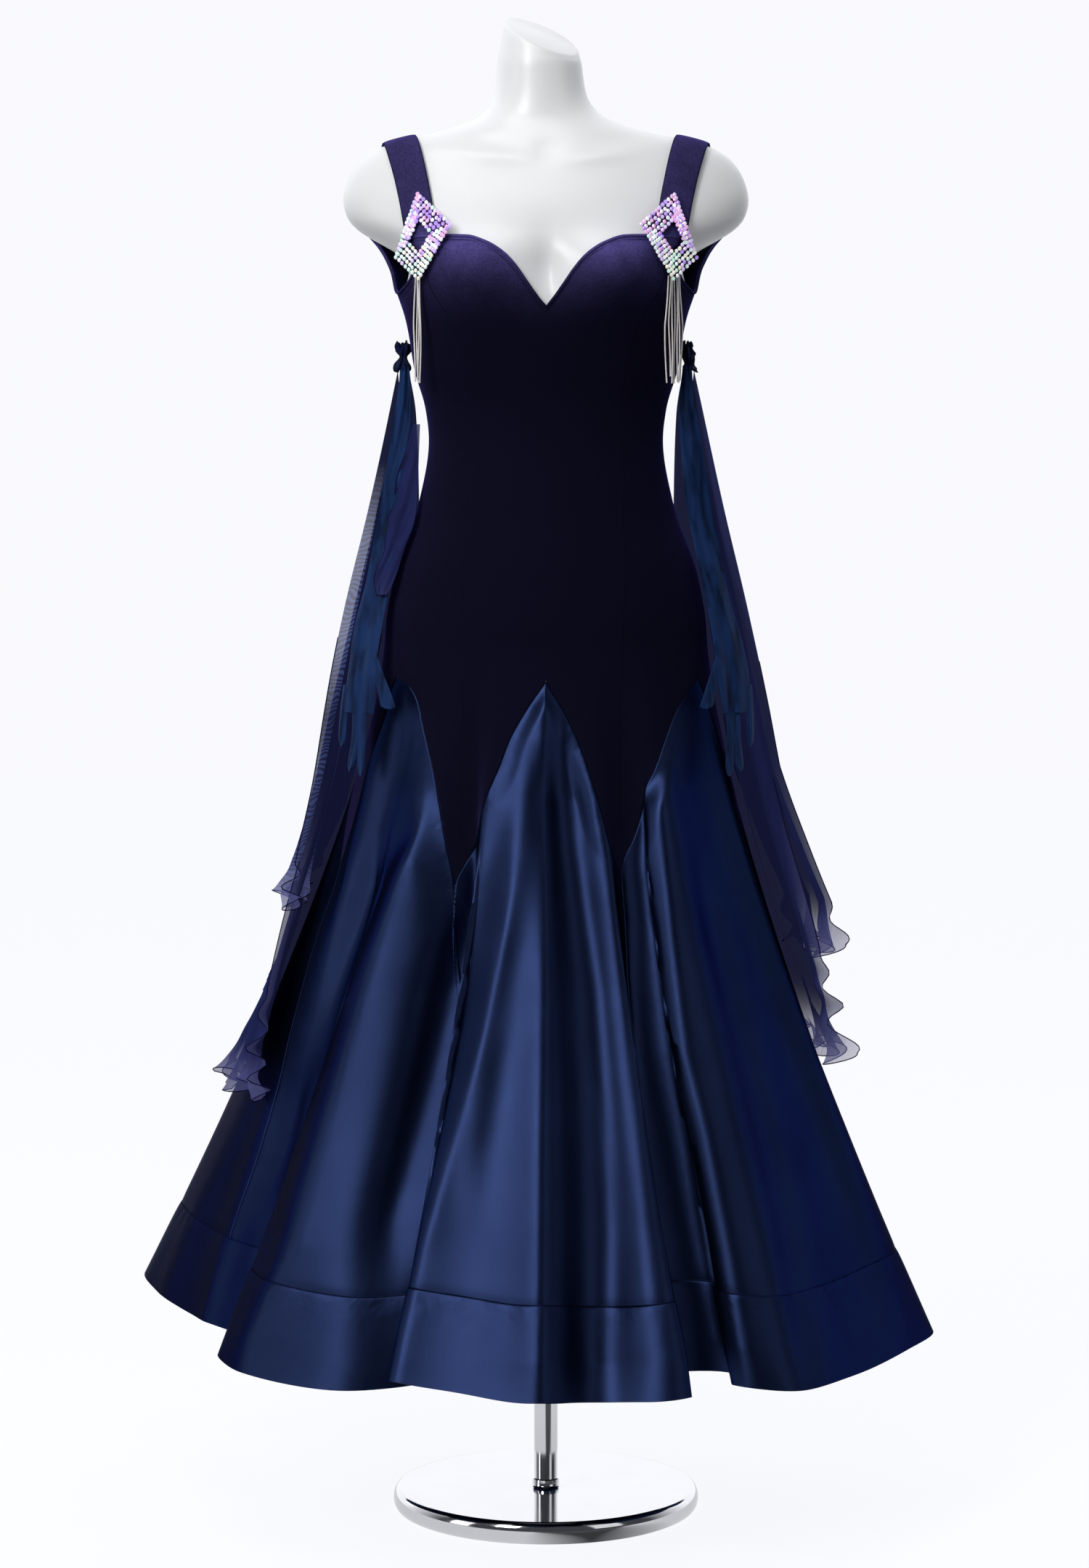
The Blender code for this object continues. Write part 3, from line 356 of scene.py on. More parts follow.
def edge_curve(godet, side):
    """The angle of a godet's edge by height, from its peak to the hem."""
    foot = godet.left if side == "left" else godet.right
    if (godet.name, side) not in FRONT_EDGES:
        drop = np.linspace(0.0, 1.0, 15)
        heights = GODET_TOP - (GODET_TOP - GODET_TIP) * drop
        return curve(heights, godet.middle + (foot - godet.middle) * drop ** EDGE_POWER)
    spots = np.array(FRONT_EDGES[godet.name, side]) / 1000
    trial = np.linspace(godet.middle, foot + 0.25 * (foot - godet.middle), 900)
    angles = [trial[np.argmin(np.abs(gown(trial, z)[:, 0] - x))] for z, x in spots]
    return curve([*spots[:, 0], SEAM_SETTLED, HEM_Z], [godet.middle, *angles[1:], foot, foot])


GODET_EDGES = {(godet.name, side): edge_curve(godet, side)
               for godet in GODETS for side in ("left", "right")}


def from_sides(values):
    """How far a grid's points are from its nearer side."""
    return np.minimum(values - values[:, :1], values[:, -1:] - values)


def pleated(angle, height):
    """Satin points with the small pleats pressed in."""
    points = gown(angle, height)
    out = gown_out(angle, height)
    x, z = points[..., 0], points[..., 2]
    total = np.zeros(x.shape)
    for side, folds in ((-1, FRONT_FOLDS), (1, BACK_FOLDS)):
        facing = within(out[..., 1] * side * 2.2 - 0.15)
        for depth, width, sharp, *spots in folds:
            heights, across = np.array(sorted(spots)).T / 1000
            ends = within((heights[-1] + 0.03 - z) / 0.09) * within((z - heights[0] + 0.09) / 0.12)
            away = np.abs(x - np.interp(z, heights, across)) / (width / 1000)
            shape = np.exp(-np.sqrt(away**2 + 0.04) + 0.2) if sharp else np.exp(-away**2)
            total += depth / 1000 * ends * facing * shape
    free = np.maximum(within(from_sides(angle) * 0.0035 / 0.022), within((GODET_TIP - height) / 0.07))
    return points + out * (total * free * free * (3 - 2 * free))[..., None]


# Meshes

def new_object(name, verts, faces, finish, smooth_angle=60.0):
    """An object from lists of points and faces, smooth but for its sharp edges."""
    mesh = bpy.data.meshes.new(name)
    mesh.from_pydata([tuple(v) for v in verts], [], [tuple(f) for f in faces])
    mesh.shade_smooth()
    mesh.set_sharp_from_angle(angle=math.radians(smooth_angle))
    mesh.materials.append(finish)
    obj = bpy.data.objects.new(name, mesh)
    bpy.context.scene.collection.objects.link(obj)
    return obj


def keep(obj, slot_name, *nodes):
    """Ride the object on the one body and hide the parts that it stands for; the name of its finish is not
    used.
    """
    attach(obj, "root")
    if nodes:
        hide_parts(*nodes)
    return obj


def store(obj, name, values):
    """Keep one number for each point of a mesh, for its finish to read."""
    kept = obj.data.attributes.new(name, "FLOAT", "POINT")
    kept.data.foreach_set("value", values.ravel().astype(np.float32))


def run(points, axis):
    """Metres along a grid from its first row or column."""
    steps = np.linalg.norm(np.diff(points, axis=axis), axis=-1)
    return np.insert(np.cumsum(steps, axis=axis), 0, 0.0, axis=axis)


def lengths(points):
    """Metres across from a grid's middle column, and metres down from its top row."""
    across = run(points, 1)
    middle = points.shape[1] // 2
    return across - across[:, middle:middle + 1], run(points, 0)


def grid_faces(index):
    """Quads of a grid of point numbers, facing outwards."""
    return np.stack([index[:-1, :-1], index[1:, :-1], index[1:, 1:], index[:-1, 1:]], -1).reshape(-1, 4)


def shell(name, points, thickness, finish, seam=None):
    """A thin wall of cloth through a grid of its outside points."""
    across, down = lengths(points)
    if seam is None:
        seam = from_sides(across)
    count = across.size
    outer = np.arange(count).reshape(across.shape)
    faces = [grid_faces(outer)]
    verts = points.reshape(-1, 3)
    layers = 1
    if thickness:
        verts = np.concatenate([verts, (points - outward(points) * thickness).reshape(-1, 3)])
        faces.append(grid_faces(outer + count)[:, ::-1])
        rim = np.concatenate([outer[0, :], outer[1:, -1], outer[-1, -2::-1], outer[-2:0:-1, 0]])
        ahead = np.roll(rim, -1)
        faces.append(np.stack([rim, ahead, ahead + count, rim + count], -1))
        layers = 2
    obj = new_object(name, verts, np.concatenate(faces).tolist(), finish)
    corners = np.empty(len(obj.data.loops), dtype=np.int32)
    obj.data.loops.foreach_get("vertex_index", corners)
    along = np.tile(np.stack([across, down], -1).reshape(-1, 2), (layers, 1))
    obj.data.uv_layers.new(name="cloth").data.foreach_set("uv", along[corners].ravel())
    store(obj, "seam", np.tile(seam.ravel(), layers))
    store(obj, "inside", np.arange(len(verts)) >= count)
    return obj


def solids(name, bodies, finish, smooth_angle=60.0):
    """Closed solids, each through its own rings of points, with flat ends, as one mesh."""
    verts, faces = [], []
    for rings in bodies:
        start, sides = len(verts), len(rings[0])
        verts += [point for points in rings for point in points]
        for low in range(start, len(verts) - sides, sides):
            for k in range(sides):
                m = (k + 1) % sides
                faces.append((low + k, low + m, low + sides + m, low + sides + k))
        faces.append(range(start + sides - 1, start - 1, -1))
        faces.append(range(len(verts) - sides, len(verts)))
    return new_object(name, verts, faces, finish, smooth_angle)


def circle(sides):
    """The sides and heights of evenly spaced directions round a circle."""
    turns = 2 * math.pi * np.arange(sides) / sides
    return np.cos(turns), np.sin(turns)


def tube(name, paths, radius, sides, finish):
    """Closed tubes along lists of points, as one mesh."""
    cosines, sines = [values[None, :, None] for values in circle(sides)]
    bodies = []
    for path in paths:
        path = np.asarray(path, float)
        along = unit(np.gradient(path, axis=0))
        side = unit(np.cross(along, np.array([0.13, 0.31, 0.94])))
        lift = np.cross(side, along)
        bodies.append(path[:, None] + radius * (cosines * side[:, None] + sines * lift[:, None]))
    return solids(name, bodies, finish)


# Nodes

class Value:
    """A node's output, to reckon with like a number."""

    def __init__(self, socket):
        self.socket = socket
        self.node = socket.node
        self.tree = socket.id_data

    def __getitem__(self, label):
        return Value(self.node.outputs[label])

    def __add__(self, other):
        return maths("ADD", self, other)

    def __sub__(self, other):
        return maths("SUBTRACT", self, other)

    def __rsub__(self, other):
        return maths("SUBTRACT", other, self)

    def __mul__(self, other):
        return maths("MULTIPLY", self, other)

    def __truediv__(self, other):
        return maths("DIVIDE", self, other)

    def __pow__(self, other):
        return maths("POWER", self, other)

    def clamped(self):
        """The same value held between 0 and 1."""
        self.node.use_clamp = True
        return self


def link(socket, value):
    """Feed a socket from a value, or set it to a number, a vector or a colour."""
    if isinstance(value, Value):
        value.tree.links.new(value.socket, socket)
    else:
        socket.default_value = (*value, 1.0) if socket.type == "RGBA" else value


def feed(node, **inputs):
    """Feed a node's inputs by name."""
    for name, value in inputs.items():
        link(node.inputs[name.replace("_", " ")], value)


def add(tree, kind, *ordered, options=None, **named):
    """A new node with its options set and its inputs fed, as its first output."""
    node = tree.nodes.new("ShaderNode" + kind)
    for name, option in (options or {}).items():
        setattr(node, name, option)
    for socket, value in zip(node.inputs, ordered):
        link(socket, value)
    feed(node, **named)
    return Value(node.outputs[0])


def tree_of(values):
    """The node tree of the first of some numbers that is a value."""
    return next(value.tree for value in values if isinstance(value, Value))


def maths(operation, *numbers):
    """A Math node's result."""
    return add(tree_of(numbers), "Math", *numbers, options={"operation": operation})


def split(vector):
    """A vector's X, Y and Z."""
    return add(vector.tree, "SeparateXYZ", vector)


def noise(vector, scale, detail=2.0, roughness=0.5):
    """A Noise texture's value at a scale."""
    node = add(vector.tree, "TexNoise", Vector=vector, Scale=scale, Detail=detail, Roughness=roughness)
    return node["Fac"]


def spread(value, low, high):
    """Map a value from 0..1 to a range."""
    return add(value.tree, "MapRange", Value=value, To_Min=low, To_Max=high)


def mix(factor, first, second):
    """A colour between two colours."""
    node = add(factor.tree, "Mix", factor, options={"data_type": "RGBA"}).node
    for label, value in (("A", first), ("B", second)):
        found = [socket for socket in node.inputs if socket.name == label and socket.type == "RGBA"]
        link(found[0], value)
    return Value([socket for socket in node.outputs if socket.type == "RGBA"][0])


def bump(height, depth, strength, under=None):
    """A normal for a height in units of a depth in metres."""
    below = {} if under is None else {"Normal": under}
    return add(height.tree, "Bump", Height=height, Distance=depth, Strength=strength, **below)


def place_in(tree):
    """Metres in the object's own space."""
    return add(tree, "TexCoord")["Object"]


def cloth_map(tree):
    """The UV map that holds metres along the cloth."""
    return add(tree, "UVMap", options={"uv_map": "cloth"})


def stored(tree, name):
    """A number that is stored on the mesh's points."""
    return add(tree, "Attribute", options={"attribute_name": name})["Fac"]


# Shared effects

def effect(name, vector, numbers, outputs):
    """A new shared effect: its tree, its inputs as values and its end."""
    tree = bpy.data.node_groups.new(name, "ShaderNodeTree")
    tree.interface.new_socket(name=vector, in_out="INPUT", socket_type="NodeSocketVector")
    for label, number in numbers.items():
        socket = tree.interface.new_socket(name=label, in_out="INPUT", socket_type="NodeSocketFloat")
        socket.default_value = number
    for label in outputs:
        tree.interface.new_socket(name=label, in_out="OUTPUT", socket_type="NodeSocketFloat")
    start = tree.nodes.new("NodeGroupInput")
    end = tree.nodes.new("NodeGroupOutput")
    return tree, [Value(start.outputs[label]) for label in (vector, *numbers)], end


def build_painted_fold_shade():
    """Painted shade of long hanging folds: 1 on their lit faces, 0 in the shaded creases between."""
    tree, (place, across, down), end = effect(
        "long_folds", "Place", {"Across": 80.0, "Down": 3.0}, ["Value"])
    scales = add(tree, "CombineXYZ", across, across, down)
    stretched = add(tree, "VectorMath", place, scales, options={"operation": "MULTIPLY"})
    feed(end, Value=((noise(stretched, 1.0) - 0.36) * 4.5).clamped())
    return tree


def build_thread_weave():
    """Fine over and under threads, from metres along the cloth."""
    tree, (cloth, threads, slub), end = effect(
        "thread_weave", "Cloth", {"Threads Per Metre": 900.0, "Slub": 0.4}, ["Height", "Streak"])
    spot = split(cloth)
    turn = threads * (2 * math.pi)
    weave = maths("SINE", spot["X"] * turn) * maths("SINE", spot["Y"] * turn)
    stretched = add(tree, "Mapping", Vector=cloth, Scale=(900.0, 22.0, 1.0))
    streak = noise(stretched, 1.0, 3.0, 0.6)
    feed(end, Height=weave * 0.3 + streak * slub, Streak=streak)
    return tree


def build_net_bands():
    """The wavering pale bands that two layers of fine net make together."""
    tree, (place, bands, waver), end = effect(
        "net_bands", "Place", {"Bands Per Metre": 85.0, "Waver": 5.0}, ["Value"])
    wave = add(tree, "TexWave", options={"bands_direction": "Z"}, Vector=place, Scale=bands,
               Distortion=waver, Detail=1.0, Detail_Scale=0.6)
    feed(end, Value=wave["Fac"])
    return tree


def build_seam_pucker():
    """The small drag lines and the dip beside a seam."""
    numbers = {"Distance": 1.0, "Reach": 0.012, "Puckers Per Metre": 60.0}
    tree, (cloth, distance, reach, puckers), end = effect(
        "seam_pucker", "Cloth", numbers, ["Height", "Dip"])
    close = distance / 0.0012
    dip = maths("POWER", 2.718, close * close * -1.0)
    fade = maths("POWER", 2.718, distance / reach * -1.0)
    feed(end, Height=fade * noise(cloth, puckers) - dip, Dip=dip)
    return tree


def build_uneven():
    """Slow unevenness over a surface, between two values."""
    tree, (place, scale, low, high), end = effect(
        "uneven", "Place", {"Scale": 10.0, "Low": 0.0, "High": 1.0}, ["Value"])
    feed(end, Value=spread(noise(place, scale, 3.0, 0.55), low, high))
    return tree


PAINTED_FOLD_SHADE = build_painted_fold_shade()
THREAD_WEAVE = build_thread_weave()
NET_BANDS = build_net_bands()
SEAM_PUCKER = build_seam_pucker()
UNEVEN = build_uneven()


def use(shared, **inputs):
    """Place a shared effect in a material with its own values."""
    return add(tree_of(inputs.values()), "Group", options={"node_tree": shared}, **inputs)


def uneven(place, scale, low=0.0, high=1.0):
    """Slow unevenness at a place."""
    return use(UNEVEN, Place=place, Scale=scale, Low=low, High=high)


def weave_of(tree, threads, slub):
    """The threads of a cloth."""
    return use(THREAD_WEAVE, Cloth=cloth_map(tree), Threads_Per_Metre=threads, Slub=slub)


def puckers_of(tree, reach, puckers):
    """The puckers beside a cloth's seams."""
    return use(SEAM_PUCKER, Cloth=cloth_map(tree), Distance=stored(tree, "seam"), Reach=reach,
               Puckers_Per_Metre=puckers)


# Finishes

def new_material(name, **constants):
    """A material, its Principled shader set from constants, its tree and metres in its space."""
    mat = bpy.data.materials.new(name)
    mat.use_nodes = True
    shader = mat.node_tree.nodes["Principled BSDF"]
    feed(shader, **constants)
    return mat, shader, mat.node_tree, place_in(mat.node_tree)


def scaled(colour, amount):
    """A lighter or darker colour of the same hue."""
    return tuple(part * amount for part in colour)


def velvet_finish():
    """Navy velvet: near black face on, with a painted violet sheen at its edges and painted light from
    above on the tops of the cups.
    """
    mat, shader, tree, place = new_material(
        "navy_velvet", Roughness=0.75, Specular_IOR_Level=0.0, Sheen_Weight=0.55, Sheen_Roughness=0.28,
        Sheen_Tint=(0.10, 0.08, 0.50))
    height = split(place)["Z"]
    # Painted light: the base colour turns violet towards the tops of the cups, where light from above
    # falls, and less so above the foot of the straps.
    bust_top = ((height - 1.225) / 0.120).clamped()
    above = ((height - 1.352) / 0.016).clamped()
    # The facing term paints a violet sheen into the base colour where the cloth turns away at its edges.
    edge = add(tree, "LayerWeight", Blend=0.35)["Facing"] ** 2.0 * 0.30
    painted_light = (bust_top ** 3.6 - above * 0.62 + edge) * uneven(place, 46.0, 0.5, 1.4)
    pucker = puckers_of(tree, 0.006, 45.0)
    # The painted light is kept off the inside and dimmed in the seam dips, a painted shade in the grooves.
    painted_light = painted_light * (1.0 - stored(tree, "inside")) * (1.0 - pucker["Dip"] * 0.75)
    painted_light = (painted_light * uneven(place, 420.0, 0.35, 1.65)).clamped()
    pile = bump(noise(place, 1300.0, 2.0, 0.6), 0.0003, 0.7)
    feed(shader, Base_Color=mix(painted_light, (0.0064, 0.0058, 0.0170), (0.094, 0.078, 0.275)),
         Normal=bump(pucker["Height"], 0.0006, 0.7, pile))
    return mat


def satin_finish(name, reach):
    """Heavy satin with fine streaks along its threads and puckers at its seams."""
    mat, shader, tree, place = new_material(
        name, Metallic=0.95, Specular_IOR_Level=0.15, Specular_Tint=(0.09, 0.10, 0.20), Anisotropic=0.45,
        Anisotropic_Rotation=0.25)
    weave = weave_of(tree, 1400.0, 0.5)
    streaked = (uneven(place, 9.0, 0.0, 0.6) + weave["Streak"] * 0.4).clamped()
    threads = bump(weave["Height"], 0.00012, 0.5)
    feed(shader, Base_Color=mix(streaked, (0.010, 0.016, 0.052), (0.024, 0.041, 0.118)),
         Roughness=spread(weave["Streak"], 0.33, 0.43),
         Normal=bump(puckers_of(tree, reach, 55.0)["Height"], 0.0016, 0.9, threads))
    return mat


def chiffon_finish():
    """Sheer cloth: single at its free edges, several layers deep where it is gathered."""
    mat, shader, tree, place = new_material(
        "navy_chiffon", Roughness=0.6, Specular_IOR_Level=0.0, Sheen_Weight=0.05, Sheen_Roughness=0.5,
        Sheen_Tint=(0.25, 0.3, 0.9), Emission_Strength=1.0)
    colour = (0.017, 0.024, 0.105)
    layers = stored(tree, "layers")
    banded = use(NET_BANDS, Place=place, Bands_Per_Metre=62.0, Waver=14.0) * stored(tree, "banded")
    # Painted shade: the base colour darkens in streaks where long folds would crease.
    deep = uneven(place, 16.0) * use(PAINTED_FOLD_SHADE, Place=place, Across=75.0, Down=2.5)
    # The emission is painted light showing through from behind: faint where the cloth lies in layers,
    # brighter where it is thin and in the pale bands.
    thin = ((0.94 - layers) * 2.5).clamped()
    lit_through = mix(thin, (0.0045, 0.0052, 0.0216), (0.055, 0.055, 0.140))
    weave = weave_of(tree, 1100.0, 0.8)
    gaps = (1.0 - layers) * (weave["Streak"] + 0.5)
    feed(shader, Base_Color=mix(banded, mix(deep, scaled(colour, 0.45), colour), (0.20, 0.27, 0.62)),
         Emission_Color=mix(banded, lit_through, (0.085, 0.120, 0.300)), Alpha=(1.0 - gaps).clamped(),
         Normal=bump(weave["Height"], 0.0002, 0.5))
    return mat


def net_finish(name, colour, see):
    """Fine stretch net in soft folds, with painted shade in their creases."""
    mat, shader, tree, place = new_material(
        name, Roughness=0.5, Specular_IOR_Level=0.06, Sheen_Weight=0.2, Sheen_Roughness=0.4,
        Sheen_Tint=(0.2, 0.4, 1.0))
    # Painted shade: the base colour darkens in streaks where long folds would crease.
    folds = use(PAINTED_FOLD_SHADE, Place=place, Across=95.0, Down=5.0)
    plain = mix(uneven(place, 26.0), colour, scaled(colour, 1.7))
    weave = weave_of(tree, 1000.0, 0.3)
    feed(shader, Base_Color=mix(folds, scaled(colour, 0.45), plain),
         Alpha=spread(weave["Streak"], see - 0.03, see + 0.03), Normal=bump(weave["Height"], 0.0002, 0.4))
    return mat


def plain_finish(name, scale, dark, light, rough=None, **constants):
    """A finish uneven between two tones and, as scale, low and high, in its roughness."""
    mat, shader, _, place = new_material(name, **constants)
    feed(shader, Base_Color=mix(uneven(place, scale), dark, light))
    if rough:
        feed(shader, Roughness=uneven(place, *rough))
    return mat, shader, place


def lacquer_finish():
    """White lacquer with a slight unevenness in its gloss and a faint painted white glow."""
    # The faint white emission is painted light that lifts the shaded sides of the form.
    mat, shader, place = plain_finish(
        "white_lacquer", 6.0, (0.83, 0.835, 0.847), (0.86, 0.864, 0.873), (40.0, 0.32, 0.42),
        Coat_Weight=0.25, Coat_Roughness=0.22, Sheen_Weight=0.35, Sheen_Roughness=0.45,
        Emission_Color=(1.0, 1.0, 1.0), Emission_Strength=0.05)
    feed(shader, Normal=bump(noise(place, 25.0), 0.0006, 0.25))
    return mat


def stone_finish():
    """Coated glass stones, each with the tint stored on its points and a faint painted glow in it."""
    # The emission in the stone's tint is painted light that brightens the stones.
    mat, shader, tree, place = new_material(
        "coated_stone", Metallic=0.15, Coat_Weight=1.0, Coat_Roughness=0.03, Specular_IOR_Level=0.9,
        Emission_Strength=0.30)
    tint = stored(tree, "tint")["Color"]
    feed(shader, Base_Color=mix(uneven(place, 700.0, 0.0, 0.55), tint, (0.95, 0.93, 1.0)),
         Emission_Color=tint, Roughness=uneven(place, 300.0, 0.05, 0.16))
    return mat


def silver_finish():
    """Silver cord with a fine twist."""
    mat, shader, place = plain_finish(
        "silver_cord", 220.0, (0.74, 0.69, 0.66), (0.97, 0.94, 0.91), (400.0, 0.25, 0.42), Metallic=0.0,
        Specular_IOR_Level=0.6)
    twist = add(place.tree, "TexWave", options={"bands_direction": "Z"}, Vector=place, Scale=260.0,
                Distortion=2.0)
    feed(shader, Normal=bump(twist["Fac"], 0.0002, 0.6))
    return mat


VELVET_FINISH = velvet_finish()
SATIN_FINISH = satin_finish("navy_satin", 0.010)
BAND_FINISH = satin_finish("navy_satin_band", 0.020)
CHIFFON_FINISH = chiffon_finish()
NET_FINISH = net_finish("blue_net", (0.008, 0.026, 0.095), 0.93)
RUFFLE_FINISH = net_finish("blue_net_gathered", (0.005, 0.009, 0.040), 0.96)
ROLLED_HEM_FINISH = plain_finish("rolled_hem", 120.0, (0.008, 0.008, 0.040), (0.018, 0.017, 0.080),
                                 Roughness=0.55, Specular_IOR_Level=0.0)[0]
LACQUER_FINISH = lacquer_finish()
CHROME_FINISH = plain_finish("polished_chrome", 18.0, (0.66, 0.67, 0.69), (0.72, 0.73, 0.745),
                             (130.0, 0.05, 0.13), Metallic=1.0)[0]
STONE_FINISH = stone_finish()
SILVER_FINISH = silver_finish()


# Stand and form

def dress_stand():
    """The weighted disc with its weld collar, and the pole."""
    profile = [(0.150, 0.0), (0.155, 0.0)]
    for step in range(13):
        turn = math.radians(-90 + 15 * step)
        rise = 0.012 + 0.011 * math.sin(turn) + 0.001 * (step > 6)
        profile.append((0.1565 + 0.007 * math.cos(turn), rise))
    profile += [(0.1555, 0.0240), (0.1500, 0.0240), (0.0240, 0.0240), (0.0165, 0.0240), (0.0156, 0.0242),
                (0.0149, 0.0252), (0.0145, 0.0285), (0.0142, 0.0312), (0.0130, 0.0320)]
    low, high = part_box("stand_pole")
    pole = [(0.0125, low[2] - 0.0004), (0.0125, high[2])]
    for name, node, sides, outline in (("polished_disc", "stand_base", 96, profile),
                                       ("polished_pole", "stand_pole", 48, pole)):
        x, y = circle(sides)
        rings = [np.stack([radius * x, radius * y, np.full(sides, z)], -1) for radius, z in outline]
        keep(solids(name, [rings], CHROME_FINISH, 35.0), "chrome", node)


def collar_bones(x, z):
    """The slight relief of the collar bones, the throat and the hollow between the cups."""
    out = np.abs(x)
    line = 1.432 + 0.10 * np.clip(out - 0.015, 0.0, 0.14)
    bone = 0.0022 * bell(z, line, 0.007) * bell(out, 0.058, 0.036)
    throat = 0.0030 * bell(z, 1.440, 0.012) * bell(x, 0.0, 0.012)
    above = 0.0016 * bell(z, line + 0.016, 0.009) * bell(out, 0.070, 0.036)
    between = 0.0060 * bell(z, 1.318, 0.032) * bell(x, 0.0, 0.011)
    return bone - throat - above - between


def underarm(angle, z):
    """The hollow of the form below the cut of the arm."""
    near = bell(np.abs(wrap(angle)), UNDERARM_ANGLE, UNDERARM_SPREAD)
    return UNDERARM_DEPTH * near * bell(z, UNDERARM_Z, UNDERARM_RISE)


def form_heights():
    """Heights that follow the form's side at even steps."""
    z = np.linspace(FORM["z"][0], FORM["z"][-1], 900)
    side = np.insert(np.cumsum(np.hypot(np.diff(z), np.diff(form_half_width(z)))), 0, 0.0)
    return np.interp(np.linspace(0.0, side[-1], 150), side, z)


def dress_form():
    """The glossy form, smooth to its slanted neck."""
    turns = np.arange(0.0, 360.0, 3.0)
    rings = []
    for height in form_heights():
        z = np.full(turns.size, height)
        x, y = body_ring(turns, z, -0.0002)
        y = y - collar_bones(x, z) * (y < 0)
        rings.append(np.stack([x - np.sign(x) * underarm(turns, z), y, z], -1))
    x, y = ring(turns, CAP_HALF_WIDTH, CAP_FRONT, CAP_BACK)
    cap = np.stack([x + CAP_SHIFT, y, CAP_MIDDLE_Z + CAP_SLOPE_X * x + CAP_SLOPE_Y * y], -1)
    centre = np.array([CAP_SHIFT, 0.0, CAP_MIDDLE_Z])
    root = rings[-1]
    rings += [root + (cap - root) * share for share in (0.25, 0.5, 0.75, 0.95)]
    rings.append(centre + (cap - centre) * 0.985)
    rings.append(centre + (cap - centre) * 0.95 + np.array([0.0, 0.0, 0.0008]))
    keep(solids("lacquered_form", [rings], LACQUER_FINISH), "white_gloss", "dress_form")


# Velvet body

STITCH_INSET = 0.0058
SHAPED_BELOW = 1.08


def halved(low, high, steps, past):
    """The highest values for which a test is still false, by halving."""
    for _ in range(steps):
        middle = (low + high) / 2
        over = past(middle)
        high = np.where(over, middle, high)
        low = np.where(over, low, middle)
    return low


def panel_sides(godet, height):
    """The angles of a velvet panel's two seams at heights."""
    seams = []
    for side, angle in (("left", godet.left), ("right", godet.right)):
        turn = float(wrap(angle))
        if abs(turn) < 30:
            tip = GODET_EDGES[godet.name, side](GODET_TIP) - angle
            lower = within((SHAPED_BELOW - height) / (SHAPED_BELOW - GODET_TIP))
            seams.append(math.copysign(1.0, turn) * front_seam_angle(height) + tip * lower)
        else:
            seams.append(np.full(np.shape(height), angle))
    return seams


def top_height(godet, share):
    """The height of the top edge at shares of the way across a panel."""
    def above(height):
        left, right = panel_sides(godet, height)
        return height > top_edge_z(np.abs(wrap(left + (right - left) * share)))

    return halved(np.full(share.shape, 1.05), np.full(share.shape, 1.42), 40, above)


def velvet_points(godet):
    """The outside of one velvet panel, rows down and columns round, pointed at its foot."""
    down = GODET_TIP + (GODET_TOP - GODET_TIP) * np.linspace(0.0, 1.0, 33) ** 0.8
    left, right = [GODET_EDGES[godet.name, side](down) for side in ("left", "right")]
    angle = np.concatenate([left[:-1], [godet.middle], right[-2::-1]])
    foot = np.concatenate([down, down[-2::-1]])
    left, right = panel_sides(godet, foot)
    share = (angle - left) / (right - left)
    top = top_height(godet, share)
    height = top + (foot - top) * np.linspace(0.0, 1.0, 124)[:, None] ** 1.22
    left, right = panel_sides(godet, height)
    return gown(left + (right - left) * share, height)


def velvet_panels():
    """Six panels, and the rolled edge that finishes their top."""
    paths = []
    for godet in GODETS:
        points = velvet_points(godet)
        across, down = lengths(points)
        seam = np.minimum(from_sides(across), np.abs(down - STITCH_INSET))
        piece = keep(shell("velvet_panel_" + godet.name, points, VELVET, VELVET_FINISH, seam),
                     "navy_velvet", "velvet_" + godet.name)
        paths.append(points[0] + np.array([0.0, 0.0, 0.0004]))
    rolled = keep(tube("rolled_top_edge", paths, 0.0018, 10, VELVET_FINISH), "navy_velvet")
    store(rolled, "seam", np.ones(len(rolled.data.vertices)))


# Satin godets and hem bands

def satin_points(godet, heights, columns):
    """The outside of a stretch of satin, with its creases."""
    height = heights[:, None]
    left, right = [GODET_EDGES[godet.name, side](height) for side in ("left", "right")]
    return pleated(left + (right - left) * np.linspace(0.0, 1.0, columns), height)


def satin_godets():
    """Six godets, each from its point in the velvet down to the hem band."""
    top = GODET_TOP - 0.0012
    heights = top + (BAND_TOP - 0.0030 - top) * np.linspace(0.0, 1.0, 116) ** 1.15
    sunk = 0.0004 + 0.0007 * np.exp(-(heights - BAND_TOP) / 0.0035)
    for godet in GODETS:
        points = satin_points(godet, heights, 109)
        points -= outward(points) * sunk[:, None, None]
        piece = keep(shell("satin_godet_" + godet.name, points, SATIN, SATIN_FINISH),
                     "navy_satin", "godet_" + godet.name)


def hem_bands():
    """The deep stitched band under each godet."""
    top = BAND_TOP + 0.0008
    heights = top + (HEM_Z - top) * np.linspace(0.0, 1.0, 30) ** 1.3
    for godet in GODETS:
        points = satin_points(godet, heights, 145)
        across, down = lengths(points)
        wave = np.sin(2 * math.pi * across / 0.034 + 2.0 * np.sin(across * 31.0))
        lift = 0.0010 * (1 - np.exp(-down / 0.012)) - 0.0008 * np.exp(-down / 0.0025)
        lift = lift + 0.0004 * wave * np.exp(-down / 0.014) * (1 - np.exp(-down / 0.003))
        points += outward(points) * lift[..., None]
        piece = keep(shell("satin_band_" + godet.name, points, BAND, BAND_FINISH, down),
                     "navy_satin", "hem_band_" + godet.name)


# Straps

STRAP_WIDTH = 0.033
STRAP_TURN_Z = 1.395
STRAP_OUTSIDE = WALL_STAND_OFF + 0.0008
strap_x = curve([0.00, 0.22, 0.50, 0.78, 1.00], [0.1285, 0.1400, 0.1535, 0.1580, 0.1560])


def side_share(x, z, off):
    """How far out a point is, from 0 in the middle to nearly 1 at the form's side."""
    return np.minimum(np.abs(x) / (form_half_width(z) + off), 0.999)


